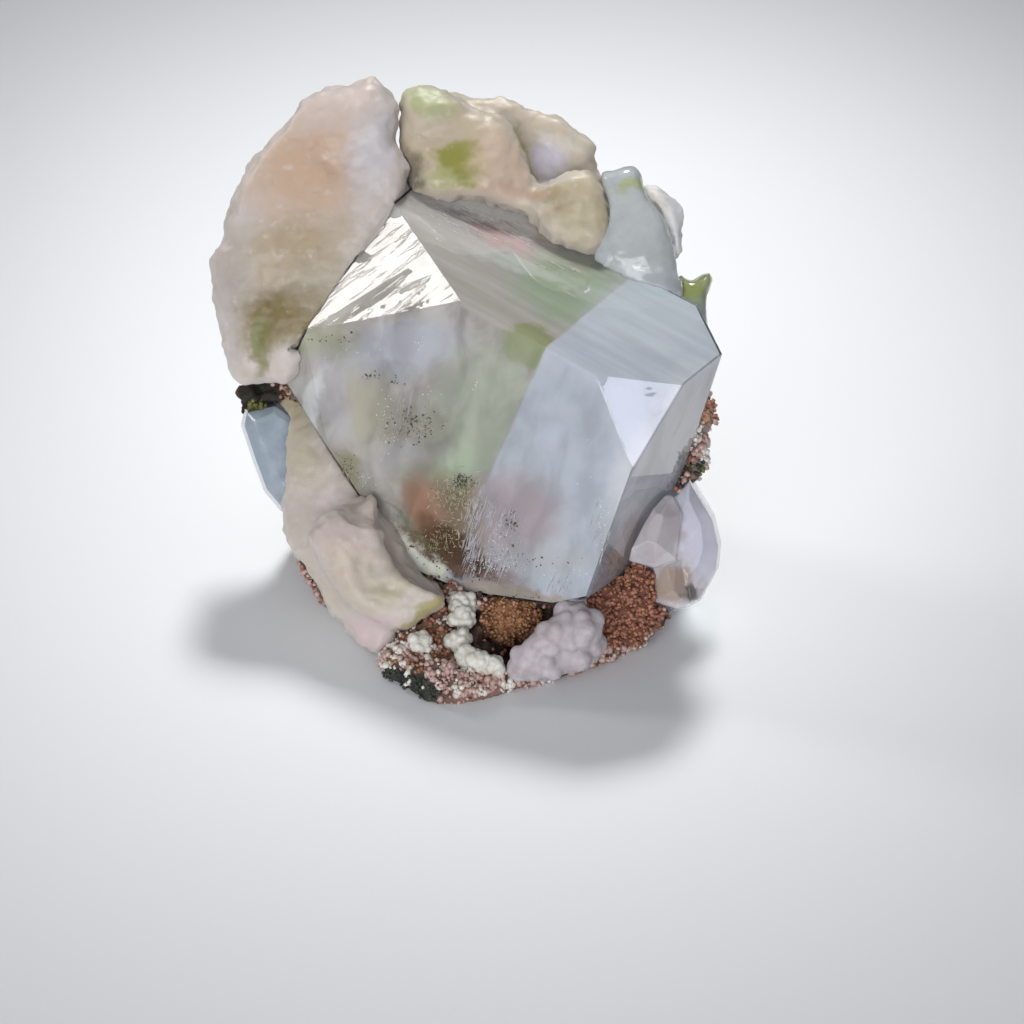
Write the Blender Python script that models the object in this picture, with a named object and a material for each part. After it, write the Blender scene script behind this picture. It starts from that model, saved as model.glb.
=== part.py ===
"""Apophyllite cluster: one large clear apophyllite crystal with smaller ones, stilbite blades and
white masses, grown on a rough piece of altered basalt that rests on its flat broken underside.

Metres, +Z up; the origin is in the middle of the underside. Sizes below are in millimetres.
The side on show leans back, so most pieces are drawn on a leaning display plane with three
directions: right, up (along the plane) and near (out of the plane, towards the person looking).
"""

import math

import bmesh
import bpy
from mathutils import Matrix, Vector, noise

MM = 0.001
GAP = 0.3                        # clearance between neighbouring pieces

# Display plane: where the outlines below are drawn
DISPLAY_LEAN = math.radians(28)  # how far the plane leans back from upright
DISPLAY_HEIGHT = 23.7            # height of the plane's zero point over the surface
EYE_DISTANCE = 400.0             # the outlines are as seen from this far away
RIGHT = Vector((1.0, 0.0, 0.0))
UP = Vector((0.0, math.sin(DISPLAY_LEAN), math.cos(DISPLAY_LEAN)))
NEAR = Vector((0.0, -math.cos(DISPLAY_LEAN), math.sin(DISPLAY_LEAN)))

# Moves everything so that the origin is in the middle of the box around the cluster
CENTRE_SHIFT = Vector((-0.59, -2.81, 0.0))

# Main crystal: a block 38 x 21 x 31 mm, measured from its nearest corner (the corner itself is cut off)
MAIN_CORNER = (19.6, -1.7, 19.6)  # right, up, near
MAIN_TURN = math.radians(-30)
MAIN_TILT = math.radians(15.5)
MAIN_ROLL = math.radians(-4)
MAIN_DEPTH = 21.0
MAIN_FACES = (                    # each face through three points, in the crystal's own axes
    ((0, 0, 0), (0, 1, 0), (0, 0, -1)),                       # right prism face
    ((0, 0, 0), (-1, 0, 0), (0, 0, -1)),                      # front prism face
    ((0, 0, 0), (-1, 0, 0), (0, 1, 0)),                       # flat top
    ((0, MAIN_DEPTH, 0), (-1, MAIN_DEPTH, 0), (0, MAIN_DEPTH, -1)),
    ((-36.3, 10.4, 0), (-37.2, 0, -12), (-38.4, 1.5, -18.5)),  # left prism face
    ((-6.8, 0, 0), (0, 6.1, 0), (0, 0, -7.5)),                # near corner facet
    ((-22.1, 0, 0), (-36.3, 10.4, 0), (-37.2, 0, -12)),       # bright left corner facet
    ((-6, 21, 0), (0, 14.8, 0), (0, 15.6, -10)),              # back right edge
    ((-30, 21, 0), (-36, 15.3, 0), (-36.6, 21, -7)),          # back left corner facet
    ((-35.6, 0, -15.1), (-31, 0, -23), (-38.4, 1.5, -18.8)),  # bright sliver, low left
    ((-31, 0, -23), (-18.9, 0, -30.9), (-33.5, 8, -27)),      # lower left
    ((-20, 21, -22), (-37, 8, -18), (-22, 12, -31)),          # lower left, behind
    ((-18.9, 0, -30.9), (-12.1, 0, -30), (-15, 20, -31)),     # underside
    ((-12.1, 0, -29.9), (-3.2, 0, -26), (-8, 20, -29)),       # underside, right
    ((-3.2, 0, -26), (0, 0, -23.2), (0, 20, -26)),            # lowest corner
)
MAIN_INSIDE = (-15, 8, -14)

# Small crystals: convex outlines (right, up), rim depth, front depth, thickness behind the rim
RIGHT_CRYSTALS = (
    (((22.9, -9.2), (25.2, -13.0), (25.8, -15.6), (25.6, -17.8), (23.9, -20.9), (21.5, -21.9),
      (19.6, -17.0), (20.4, -12.0)), -1.0, 2.0, 8.0),
    (((18.6, -10.4), (21.2, -10.6), (22.2, -12.5), (21.6, -17.0), (19.5, -17.8), (15.6, -16.7),
      (16.8, -12.6)), 2.2, 2.4, 9.0),
    (((19.3, -16.5), (22.6, -16.4), (23.0, -21.3), (21.7, -21.9), (19.6, -21.2)), 0.8, 1.6, 7.0),
)
LEFT_CRYSTAL = (((-21.3, -2.3), (-21.6, -3.8), (-20.4, -7.0), (-19.5, -9.7), (-17.9, -11.6),
                 (-15.5, -11.0), (-15.0, -4.0), (-18.5, -1.6)), -6.0, 1.5, 7.0)
CHAMFER = math.radians(42)        # slope of the small crystals' front edges
FLARE = math.radians(6)           # their sides open a little towards the back


class Blade:
    """A stilbite blade or rounded crystal: an outline on the display plane, made of stacked leaves."""

    def __init__(self, outline, near, crown, thick, lean_right=0.0, lean_up=0.0, leaves=1):
        self.outline = [Vector(point) for point in outline]
        self.near = near
        self.crown = crown
        self.thick = thick
        self.lean_right = lean_right
        self.lean_up = lean_up
        self.leaves = leaves


SHEAF_LEFT = Blade(
    ((-8.4, 31.6), (-6.4, 29.4), (-5.9, 28.0), (-6.3, 25.0), (-5.4, 23.3), (-4.8, 22.0), (-5.2, 19.8),
     (-6.0, 13.0), (-12.0, 6.0), (-17.0, 0.5), (-19.5, 0.6), (-22.1, 0.3), (-23.4, 2.5), (-24.1, 5.5),
     (-24.8, 9.3), (-25.3, 12.0), (-25.0, 13.4), (-23.8, 14.8), (-23.9, 16.0), (-22.8, 19.8),
     (-21.5, 22.1), (-20.1, 24.1), (-18.1, 25.9), (-17.1, 27.2), (-15.5, 29.4), (-13.1, 30.4),
     (-9.9, 31.0)),
    near=-3.0, crown=4.0, thick=9.0, lean_right=0.15, lean_up=-0.1, leaves=4)
BLADE_TOP_FRONT = Blade(
    ((-6.0, 29.0), (-5.0, 30.4), (-3.0, 30.6), (-0.5, 29.5), (1.0, 28.3), (4.0, 27.5), (5.5, 26.3),
     (6.4, 24.0), (7.1, 21.5), (8.6, 18.2), (7.0, 17.5), (2.0, 19.0), (-3.6, 19.3), (-5.4, 20.2),
     (-5.8, 22.0), (-6.3, 25.5)),
    near=-4.0, crown=2.6, thick=7.0, lean_up=-0.2, leaves=3)
BLADE_TOP_BACK = Blade(
    ((-2.0, 29.8), (0.0, 29.6), (2.0, 29.3), (3.7, 29.4), (5.2, 29.2), (6.5, 28.4), (8.5, 27.7),
     (10.2, 27.3), (11.2, 26.4), (13.0, 25.2), (13.7, 24.5), (13.7, 23.7), (13.4, 22.4), (14.1, 21.7),
     (15.0, 19.0), (14.0, 16.0), (8.0, 17.5), (1.0, 20.0), (-2.0, 26.0)),
    near=-8.5, crown=1.6, thick=6.0, leaves=3)
LOBE_CREAM = Blade(
    ((7.0, 19.5), (8.8, 20.8), (10.2, 21.5), (11.9, 21.9), (13.4, 21.8), (14.1, 20.4), (15.1, 17.5),
     (15.2, 15.5), (14.0, 13.5), (11.0, 14.0), (8.0, 16.0)),
    near=-2.0, crown=2.6, thick=6.0)
PLATE_GREY = Blade(
    ((14.0, 21.7), (15.2, 22.0), (16.4, 22.4), (17.4, 22.4), (18.1, 21.6), (18.3, 20.5), (19.0, 19.0),
     (20.8, 16.5), (21.5, 13.5), (21.8, 11.5), (22.0, 9.0), (18.0, 8.0), (14.0, 10.0), (13.0, 15.0),
     (14.0, 19.0)),
    near=-1.5, crown=2.0, thick=8.0, lean_up=-0.2)
BLADE_RIGHT = Blade(
    ((18.0, 20.4), (19.2, 20.6), (20.1, 20.2), (21.2, 19.3), (22.4, 18.3), (22.5, 17.4), (22.0, 16.0),
     (22.2, 14.0), (21.5, 12.8), (21.7, 11.5), (20.0, 10.0), (18.5, 14.0), (17.6, 18.0)),
    near=-6.0, crown=2.0, thick=5.0, leaves=2)
KNOB_GREEN = Blade(
    ((21.6, 12.0), (22.4, 11.1), (23.4, 10.8), (24.0, 11.5), (24.8, 11.8), (25.3, 11.5), (25.1, 10.5),
     (24.6, 9.4), (24.7, 7.0), (24.9, 5.4), (23.0, 5.0), (21.0, 9.0)),
    near=-2.5, crown=2.0, thick=6.0)
BLADE_LOWER_LEFT = Blade(
    ((-17.3, 2.0), (-18.4, 0.0), (-18.5, -3.0), (-18.1, -7.0), (-17.9, -11.6), (-17.1, -16.0),
     (-15.3, -17.9), (-14.5, -19.3), (-13.2, -22.1), (-11.5, -23.8), (-10.8, -25.2), (-9.8, -26.0),
     (-8.1, -26.4), (-6.5, -25.5), (-5.7, -23.5), (-1.0, -21.0), (-4.6, -17.6), (-7.6, -11.5), (-11.0, -7.5),
     (-13.6, 1.5)),
    near=-2.0, crown=2.4, thick=8.0, lean_right=0.2, lean_up=-0.3, leaves=3)
LOBE_LOWER_FRONT = Blade(
    ((-15.1, -15.5), (-15.0, -14.0), (-14.0, -12.7), (-12.3, -11.7), (-10.3, -10.6), (-8.6, -8.8),
     (-8.2, -12.0), (-7.2, -16.0), (-5.0, -18.9), (-1.2, -20.9), (-2.0, -22.0), (-4.0, -23.2),
     (-6.0, -24.0), (-10.0, -22.5), (-12.5, -20.0), (-14.0, -17.5)),
    near=2.6, crown=2.2, thick=7.0, lean_right=0.1, lean_up=-0.15, leaves=2)

# White masses: balls at (right, up, near, radius), run together into smooth lumps
WHITE_MASS = (
    (6.6, -27.2, 6.5, 1.7), (8.5, -25.6, 6.5, 1.8), (10.5, -24.2, 6.6, 2.0), (12.3, -23.9, 6.2, 2.0),
    (8.8, -27.3, 6.2, 1.8), (11.0, -26.4, 5.6, 2.0), (12.8, -25.5, 5.0, 1.5), (11.4, -22.3, 5.8, 1.5),
    (11.2, -21.3, 4.8, 1.2),
)
WHITE_CLUSTERS = (
    ((-0.2, -21.3, 1.6, 1.1), (0.8, -21.2, 1.5, 1.0), (0.3, -22.4, 2.5, 1.1), (-0.4, -22.9, 3.0, 0.8),
     (0.7, -23.0, 3.1, 0.8)),
    ((-0.7, -25.1, 4.6, 0.8), (0.2, -24.8, 4.5, 0.95), (-0.1, -25.5, 4.9, 0.7)),
    ((0.5, -26.4, 5.9, 0.9), (1.4, -26.9, 6.2, 1.0), (2.4, -27.3, 6.4, 1.0), (3.3, -27.4, 6.5, 0.95),
     (3.7, -27.9, 6.7, 0.7), (0.2, -27.0, 6.2, 0.6)),
    ((-4.4, -25.1, 5.1, 0.75), (-3.7, -25.0, 5.0, 0.8), (-4.1, -25.6, 5.3, 0.6)),
)

# Matrix: plan sections (x, y) from the flat underside up
MATRIX_SECTIONS = (
    (0.0, ((-3.0, -21.4), (4.5, -18.9), (10, -15.8), (14.5, -13.4), (18, -8.4), (19.6, -4.0), (20.5, 3),
           (18, 13), (8, 18.5), (-7, 18), (-14, 12), (-15, 5), (-12.5, -3), (-10.3, -8),
           (-8.0, -11.7), (-5.8, -15.8))),
    (2.0, ((-3.0, -21.4), (4.5, -19.6), (10, -17.0), (15, -14.2), (18.8, -9.8), (21.5, -5.0), (22.5, 3),
           (19, 14), (9, 20), (-8, 19), (-15.4, 12), (-15.8, 4), (-13.2, -4), (-10.2, -9.5),
           (-7.8, -12.4), (-6.0, -16.2))),
    (3.2, ((-3.0, -19.2), (4.5, -18.2), (10, -16.6), (15, -14.0), (19.0, -10.0), (22, -5.2), (23, 3),
           (20, 14), (9, 20.5), (-8, 20), (-16, 13), (-16.6, 4), (-14, -4), (-10.5, -10),
           (-8.2, -12.6), (-6.0, -15.0))),
    (4.4, ((-3.0, -13.5), (4, -14.5), (9, -15.5), (14.4, -14), (19, -10.5), (22, -5.5), (23.5, 3),
           (20.5, 14), (9, 21), (-8, 21), (-17, 14), (-17.3, 5), (-14.6, -4), (-10.6, -9.5),
           (-8.4, -11), (-6, -12.2))),
    (7.0, ((-3.0, -8.5), (4, -11), (9, -13.5), (14, -13.5), (18.5, -10.5), (21.5, -6.5), (24, 2),
           (22, 13), (11, 21), (-7, 21.5), (-17.5, 15), (-18, 7), (-16.4, -1), (-11.5, -6),
           (-9.5, -7.5), (-7, -8.2))),
    (14.0, ((-3, -2), (6, -4), (12, -6), (18, -7), (22, -4.5), (24.6, 1), (24, 10), (18, 18), (8, 22),
            (-6, 22), (-17, 17), (-19.8, 9), (-17.2, 2), (-12, -1), (-9, -1), (-7, -1.2))),
    (20.0, ((-3, 2), (6, 0), (14, -3), (20, -5), (24, -3), (25.2, 1.5), (24, 10), (17, 18), (8, 22),
            (-6, 22), (-16, 17), (-21, 9), (-18, 5), (-12, 2), (-9, 2), (-7, 2))),
    (27.0, ((-3, 4), (6, 3), (14, 2), (20, 2), (22.5, 4), (23, 8), (21, 14), (15, 19), (7, 22),
            (-6, 22), (-15, 18), (-19, 12), (-17, 6), (-11, 4), (-9, 4), (-7, 4))),
    (34.0, ((-3, 9), (5, 9), (11, 9), (16, 10), (18, 12), (18, 15), (15, 19), (8, 22), (1, 23),
            (-6, 23), (-13, 21), (-16, 15), (-13, 11), (-9, 10), (-7, 9.4), (-6, 9))),
    (42.0, ((-2, 14), (2, 14), (6, 14.5), (10, 15), (12, 17), (11, 19), (7, 20.5), (1, 21), (-3, 21),
            (-8, 20), (-10, 18), (-10, 16), (-8, 15), (-5, 14.5), (-4, 14.2), (-3, 14))),
)
UNDER_SECTION = (-2.0, MATRIX_SECTIONS[0][1])      # cut off again at the flat underside
CAVITY = ((6.0, -13.2, 4.6), (3.7, 6.2, 3.9))      # centre and radii of the hollow under the crystal
CAVITY_KNOB = ((5.3, -9.6, 4.5), (3.0, 4.0, 2.5))  # the crusted knob that grows in it
FRACTURES = (                                       # broken faces: a point on each, and its direction
    ((0, 20.5, 16), (0.12, 1.0, 0.18)), ((-10, 19, 26), (-0.45, 1.0, 0.35)), ((12, 18, 24), (0.5, 1.0, 0.3)),
    ((-19, 9, 12), (-1.0, 0.35, -0.15)), ((-16, 15, 14), (-0.9, 1.0, 0.1)), ((22, 6, 12), (1.0, 0.25, -0.12)),
    ((17, 15, 10), (0.9, 1.0, -0.1)), ((4, 20, 8), (0.1, 1.0, -0.35)), ((2, 17, 41), (0.1, 0.35, 1.0)),
)
MATRIX_LUMPS = (                                    # right, up, near, radius
    (-20.4, -0.9, -7.5, 2.3), (-18.6, -1.6, -10.5, 3.2), (24.4, -2.0, -2.6, 1.5),
    (24.0, -6.6, -2.6, 1.2), (23.9, -4.4, -2.6, 1.2), (16.8, -21.2, 1.0, 2.2), (14.6, -20.0, 1.6, 2.0),
    (-6.6, -27.6, 3.4, 1.6), (-2.2, -28.6, 7.4, 1.6), (17.6, -24.2, -0.4, 1.6),
)
FRONT_RINGS = (0.0, 0.25, 0.45, 0.62, 0.76, 0.87, 0.95)   # rings of a leaf, from its middle out
BACK_RINGS = (1.0, 0.95, 0.8, 0.5, 0.0)
LEAF_STEP = 0.035                 # each leaf further back is this much smaller
LEAF_NOTCH = 0.06                 # and its edge wanders by this much
BLADE_WANDER = 1.1                # unevenness of a blade's broad face, mm
LEAF_OVERLAP = 1.4                # share of its step that a leaf reaches back
BACK_LEAF_CROWN = 0.8             # height of the leaves behind the front one, mm
WELD = 0.02                       # corners nearer than this are one, mm
NOISE_SEED = 1
MATRIX_RAYS = 72                  # corners around each plan section
MATRIX_VOXEL = 0.8
MATRIX_TRIANGLES = 2250
FINE_TRIANGLES = 40000            # before the hollow is cut
SWELL_SIZE = 7.0                  # the rock's surface wanders in swells of this size, mm
SWELL_HEIGHT = 1.1
KNOB_SIZE = 2.2                   # with smaller knobs on them
KNOB_HEIGHT = 0.55
BUMP_SIZE = 1.7                   # bumps in the hollow and on its knob, mm
CAVITY_ROUGHNESS = 0.7
KNOB_ROUGHNESS = 0.5
FLOOR_CLEARANCE = 0.6             # the other pieces stay this far above the surface


def on_display(right, up, near):
    """World place of a point given on the display plane, in millimetres."""
    shrink = 1 - near / EYE_DISTANCE
    centre = Vector((0.0, 0.0, DISPLAY_HEIGHT))
    return centre + RIGHT * (right * shrink) + UP * (up * shrink) + NEAR * near


def make_object(name, bm):
    """Turn a bmesh in millimetres into an object in metres."""
    bmesh.ops.recalc_face_normals(bm, faces=bm.faces)
    bmesh.ops.scale(bm, vec=(MM, MM, MM), verts=bm.verts)
    mesh = bpy.data.meshes.new(name)
    bm.to_mesh(mesh)
    bm.free()
    obj = bpy.data.objects.new(name, mesh)
    bpy.context.scene.collection.objects.link(obj)
    return obj


def make_material(name, colour, roughness, transmission=0.0, ior=1.5):
    material = bpy.data.materials.new(name)
    material.use_nodes = True
    shader = material.node_tree.nodes["Principled BSDF"]
    shader.inputs["Base Color"].default_value = (*colour, 1.0)
    shader.inputs["Roughness"].default_value = roughness
    shader.inputs["Metallic"].default_value = 0.0
    shader.inputs["Transmission Weight"].default_value = transmission
    shader.inputs["IOR"].default_value = ior
    return material


def plane_through(points, inside):
    """Point and outward normal of the plane through three points."""
    a, b, c = (Vector(point) for point in points)
    normal = (b - a).cross(c - a).normalized()
    if normal.dot(a - Vector(inside)) < 0:
        normal.negate()
    return a, normal


def convex_solid(planes, grow):
    """The solid inside all the planes, each moved outwards by grow."""
    bm = bmesh.new()
    bmesh.ops.create_cube(bm, size=300.0)
    for point, normal in planes:
        geometry = bm.verts[:] + bm.edges[:] + bm.faces[:]
        cut = bmesh.ops.bisect_plane(bm, geom=geometry, dist=1e-5, plane_co=point + normal * grow,
                                     plane_no=normal, clear_outer=True)
        edges = [item for item in cut["geom_cut"] if isinstance(item, bmesh.types.BMEdge)]
        if len(edges) > 2:
            bmesh.ops.contextual_create(bm, geom=edges)
    bmesh.ops.remove_doubles(bm, verts=bm.verts, dist=1e-3)
    return bm


def main_crystal(grow=0.0):
    planes = [plane_through(points, MAIN_INSIDE) for points in MAIN_FACES]
    bm = convex_solid(planes, grow)
    turn = (Matrix.Rotation(MAIN_TURN, 4, "Z") @ Matrix.Rotation(MAIN_TILT, 4, "Y")
            @ Matrix.Rotation(MAIN_ROLL, 4, "X"))
    place = Matrix.Translation(on_display(*MAIN_CORNER))
    bmesh.ops.transform(bm, matrix=place @ turn, verts=bm.verts)
    return bm


def small_crystal(outline, rim, front, thick, grow=0.0):
    """A flat-faced crystal: sides along the outline, chamfered towards its front face."""
    corners = [Vector(point) for point in outline]
    middle = sum(corners, Vector((0.0, 0.0))) / len(corners)
    front_point = on_display(middle.x, middle.y, rim + front)
    back_point = on_display(middle.x, middle.y, rim - thick)
    planes = [(front_point, (NEAR + UP * 0.18 + RIGHT * 0.12).normalized()), (back_point, -NEAR),
              (Vector((0.0, 0.0, FLOOR_CLEARANCE)), Vector((0.0, 0.0, -1.0)))]
    for start, end in zip(corners, corners[1:] + corners[:1]):
        across = (end - start).normalized()
        out = Vector((across.y, -across.x))
        if out.dot(start - middle) < 0:
            out.negate()
        outward = RIGHT * out.x + UP * out.y
        side_point = on_display(start.x, start.y, rim)
        planes.append((side_point, (outward * math.cos(FLARE) + NEAR * math.sin(FLARE)).normalized()))
        planes.append((side_point, (outward * math.cos(CHAMFER) + NEAR * math.sin(CHAMFER)).normalized()))
    return convex_solid(planes, grow)


def smooth_loop(points, pieces):
    """A closed smooth curve through the points, with so many pieces between two of them."""
    loop = []
    count = len(points)
    for index in range(count):
        before = points[index - 1]
        start = points[index]
        end = points[(index + 1) % count]
        after = points[(index + 2) % count]
        for piece in range(pieces):
            t = piece / pieces
            loop.append(0.5 * (2 * start + (end - before) * t
                               + (2 * before - 5 * start + 4 * end - after) * t ** 2
                               + (3 * start - before - 3 * end + after) * t ** 3))
    return loop


def bridge_rows(bm, rows):
    """Skin between rows of the same number of vertices; a row of one vertex is a tip."""
    for row, next_row in zip(rows, rows[1:]):
        size = max(len(row), len(next_row))
        for index in range(size):
            following = (index + 1) % size
            corners = [row[index % len(row)], row[following % len(row)],
                       next_row[following % len(next_row)], next_row[index % len(next_row)]]
            bm.faces.new(list(dict.fromkeys(corners)))


def leaf(bm, shape, index):
    """One leaf of a blade: a flat cushion on the outline, the front one crowned."""
    middle = sum(shape.outline, Vector((0.0, 0.0))) / len(shape.outline)
    step = shape.thick / shape.leaves
    crown = BACK_LEAF_CROWN if index else shape.crown
    size = 1.0 - LEAF_STEP * index
    rows = []
    for ring, side in [(ring, 1) for ring in FRONT_RINGS] + [(ring, -1) for ring in BACK_RINGS]:
        row = []
        for spot in (smooth_loop(shape.outline, 3) if ring else [middle]):
            away = spot - middle
            notch = noise.noise(Vector((spot.x * 0.5, spot.y * 0.5, index * 5.0)))
            place = middle + away * ring * size * (1 + LEAF_NOTCH * notch * bool(index))
            swell = (1 - ring ** 4) ** 0.5
            depth = crown * swell if side > 0 else -step * LEAF_OVERLAP * swell
            wander = noise.noise(Vector((place.x, place.y, shape.near + index)) * 0.17)
            lean = shape.lean_right * (place.x - middle.x) + shape.lean_up * (place.y - middle.y)
            near = shape.near - step * index + lean + depth + BLADE_WANDER * wander * (1 - ring ** 6)
            row.append(bm.verts.new(on_display(place.x, place.y, near)))
        rows.append(row)
    bridge_rows(bm, rows)


def push_out(bm, distance):
    """Move every vertex outwards."""
    bmesh.ops.recalc_face_normals(bm, faces=bm.faces)
    bm.normal_update()
    for vert in bm.verts:
        vert.co += vert.normal * (distance * min(vert.calc_shell_factor(), 1.6))


def ball(bm, centre, radii):
    place = Matrix.Translation(centre) @ Matrix.Diagonal((*radii, 1.0))
    bmesh.ops.create_icosphere(bm, subdivisions=3, radius=1.0, matrix=place)


def apply_modifiers(obj):
    """Keep what the object's modifiers make as its own mesh."""
    depsgraph = bpy.context.evaluated_depsgraph_get()
    mesh = bpy.data.meshes.new_from_object(obj.evaluated_get(depsgraph))
    obj.modifiers.clear()
    obj.data = mesh


def run_together(obj, voxel, triangles):
    """Run overlapping shapes together into one skin of about so many triangles."""
    modifier = obj.modifiers.new("Run together", "REMESH")
    modifier.mode = "VOXEL"
    modifier.voxel_size = voxel * MM
    apply_modifiers(obj)
    thin = obj.modifiers.new("Fewer faces", "DECIMATE")
    thin.use_collapse_triangulate = True
    thin.ratio = min(1.0, triangles / (2 * len(obj.data.polygons)))
    apply_modifiers(obj)


def combine(obj, other, operation):
    """Join or cut the object with another, then drop the other."""
    modifier = obj.modifiers.new("Cut", "BOOLEAN")
    modifier.operation = operation
    modifier.solver = "EXACT"
    modifier.object = other
    apply_modifiers(obj)
    bpy.data.objects.remove(other)


def trim_fins(bm):
    """Take off slivers left hanging by one edge, and close what they leave open."""
    fins = [face for face in bm.faces if any(len(edge.link_faces) == 1 for edge in face.edges)
            and any(len(edge.link_faces) > 2 for edge in face.edges)]
    while fins:
        bmesh.ops.delete(bm, geom=fins, context="FACES")
        fins = [face for face in bm.faces if any(len(edge.link_faces) == 1 for edge in face.edges)
                and any(len(edge.link_faces) > 2 for edge in face.edges)]
    rims = [edge for edge in bm.edges if len(edge.link_faces) == 1]
    bmesh.ops.holes_fill(bm, edges=rims)
    bmesh.ops.triangulate(bm, faces=bm.faces)


def keep_main_body(obj):
    """Clean up after the cuts, and keep the largest closed body."""
    bm = bmesh.new()
    bm.from_mesh(obj.data)
    bmesh.ops.triangulate(bm, faces=bm.faces)
    bmesh.ops.remove_doubles(bm, verts=bm.verts, dist=WELD * MM)
    bmesh.ops.dissolve_degenerate(bm, edges=bm.edges, dist=WELD * MM)
    bmesh.ops.triangulate(bm, faces=bm.faces)
    trim_fins(bm)
    unseen = set(bm.faces)
    bodies = []
    while unseen:
        stack = [unseen.pop()]
        body = list(stack)
        while stack:
            for edge in stack.pop().edges:
                for face in edge.link_faces:
                    if face in unseen:
                        unseen.remove(face)
                        stack.append(face)
                        body.append(face)
        bodies.append(body)
    bodies.sort(key=lambda body: sum(face.calc_area() for face in body), reverse=True)
    crumbs = [face for body in bodies[1:] for face in body]
    bmesh.ops.delete(bm, geom=crumbs, context="FACES")
    bm.to_mesh(obj.data)
    bm.free()


def section_radii(points, centre):
    """Distance from the centre to the section's outline along evenly spaced rays."""
    loop = smooth_loop([Vector(point) for point in points], 4)
    radii = []
    for index in range(MATRIX_RAYS):
        angle = 2 * math.pi * index / MATRIX_RAYS
        ray = Vector((math.cos(angle), math.sin(angle)))
        best = 0.0
        for start, end in zip(loop, loop[1:] + loop[:1]):
            a = start - centre
            span = end - start
            det = span.x * ray.y - span.y * ray.x
            if abs(det) < 1e-9:
                continue
            along = (span.x * a.y - span.y * a.x) / det
            share = (ray.x * a.y - ray.y * a.x) / det
            if 0 <= share <= 1 and along > best:
                best = along
        radii.append(best)
    return radii


def rock_wander(point):
    """Wander of the rock's surface, larger swells with smaller knobs on them."""
    swell = noise.noise_vector(point / SWELL_SIZE) * SWELL_HEIGHT
    knobs = noise.noise_vector(point / KNOB_SIZE) * KNOB_HEIGHT
    return swell + knobs


def rock_body():
    """Skin over the plan sections, broken back to the fracture faces."""
    bm = bmesh.new()
    rows = []
    for height, points in (UNDER_SECTION, *MATRIX_SECTIONS):
        centre = sum((Vector(point) for point in points), Vector((0.0, 0.0))) / len(points)
        row = []
        for index, radius in enumerate(section_radii(points, centre)):
            angle = 2 * math.pi * index / MATRIX_RAYS
            spot = Vector((centre.x + radius * math.cos(angle), centre.y + radius * math.sin(angle), height))
            row.append(bm.verts.new(spot))
        rows.append(row)
    bridge_rows(bm, rows)
    bm.faces.new(rows[0])
    bm.faces.new(rows[-1])
    bmesh.ops.subdivide_edges(bm, edges=bm.edges, cuts=1, use_grid_fill=True)
    for vert in bm.verts:
        for point, direction in FRACTURES:
            out = Vector(direction).normalized()
            beyond = (vert.co - Vector(point)).dot(out)
            vert.co -= out * max(beyond, 0.0)
        vert.co += rock_wander(vert.co)
    for right, up, near, radius in MATRIX_LUMPS:
        ball(bm, on_display(right, up, near), (radius, radius, radius))
    return bm


def rough_ball(name, place_and_radii, roughness):
    centre, radii = place_and_radii
    bm = bmesh.new()
    ball(bm, Vector(centre), radii)
    for vert in bm.verts:
        vert.co += noise.noise_vector(vert.co / BUMP_SIZE) * roughness
    return make_object(name, bm)


def matrix_rock():
    """The matrix before its neighbours are cut out of it."""
    rock = make_object("matrix", rock_body())
    run_together(rock, MATRIX_VOXEL, FINE_TRIANGLES)
    combine(rock, rough_ball("hollow", CAVITY, CAVITY_ROUGHNESS), "DIFFERENCE")
    combine(rock, rough_ball("knob", CAVITY_KNOB, KNOB_ROUGHNESS), "UNION")
    run_together(rock, MATRIX_VOXEL, MATRIX_TRIANGLES)
    return rock


def floor_cutter():
    bm = bmesh.new()
    bmesh.ops.create_cube(bm, size=100.0, matrix=Matrix.Translation((0.0, 0.0, -50.0)))
    return make_object("floor_cutter", bm)


class FlatFaced:
    """A piece with flat faces, whose cutter is built from the same planes moved outwards."""

    def __init__(self, name, solids):
        self.name = name
        self.solids = solids

    def build(self, grow=0.0):
        first, *others = [make_object(self.name, solid(grow)) for solid in self.solids]
        for other in others:
            combine(first, other, "UNION")
        return first


class Rounded:
    """A piece of rounded shapes run together, whose cutter is its own skin pushed outwards."""

    def __init__(self, name, shapes, voxel, triangles):
        self.name = name
        self.shapes = shapes
        self.voxel = voxel
        self.triangles = triangles
        self.skin = None

    def build(self, grow=0.0):
        if self.skin is None:
            self.skin = self.make_skin()
        bm = bmesh.new()
        bm.from_mesh(self.skin)
        bmesh.ops.scale(bm, vec=(1 / MM, 1 / MM, 1 / MM), verts=bm.verts)
        for vert in bm.verts:
            vert.co.z = max(vert.co.z, FLOOR_CLEARANCE)
        if grow:
            push_out(bm, grow)
        return make_object(self.name, bm)

    def make_skin(self):
        bm = bmesh.new()
        for shape in self.shapes:
            if isinstance(shape, Blade):
                for index in range(shape.leaves):
                    leaf(bm, shape, index)
            else:
                right, up, near, radius = shape
                ball(bm, on_display(right, up, near), (radius, radius, radius))
        obj = make_object("skin", bm)
        run_together(obj, self.voxel, self.triangles)
        skin = obj.data
        bpy.data.objects.remove(obj)
        return skin


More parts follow.
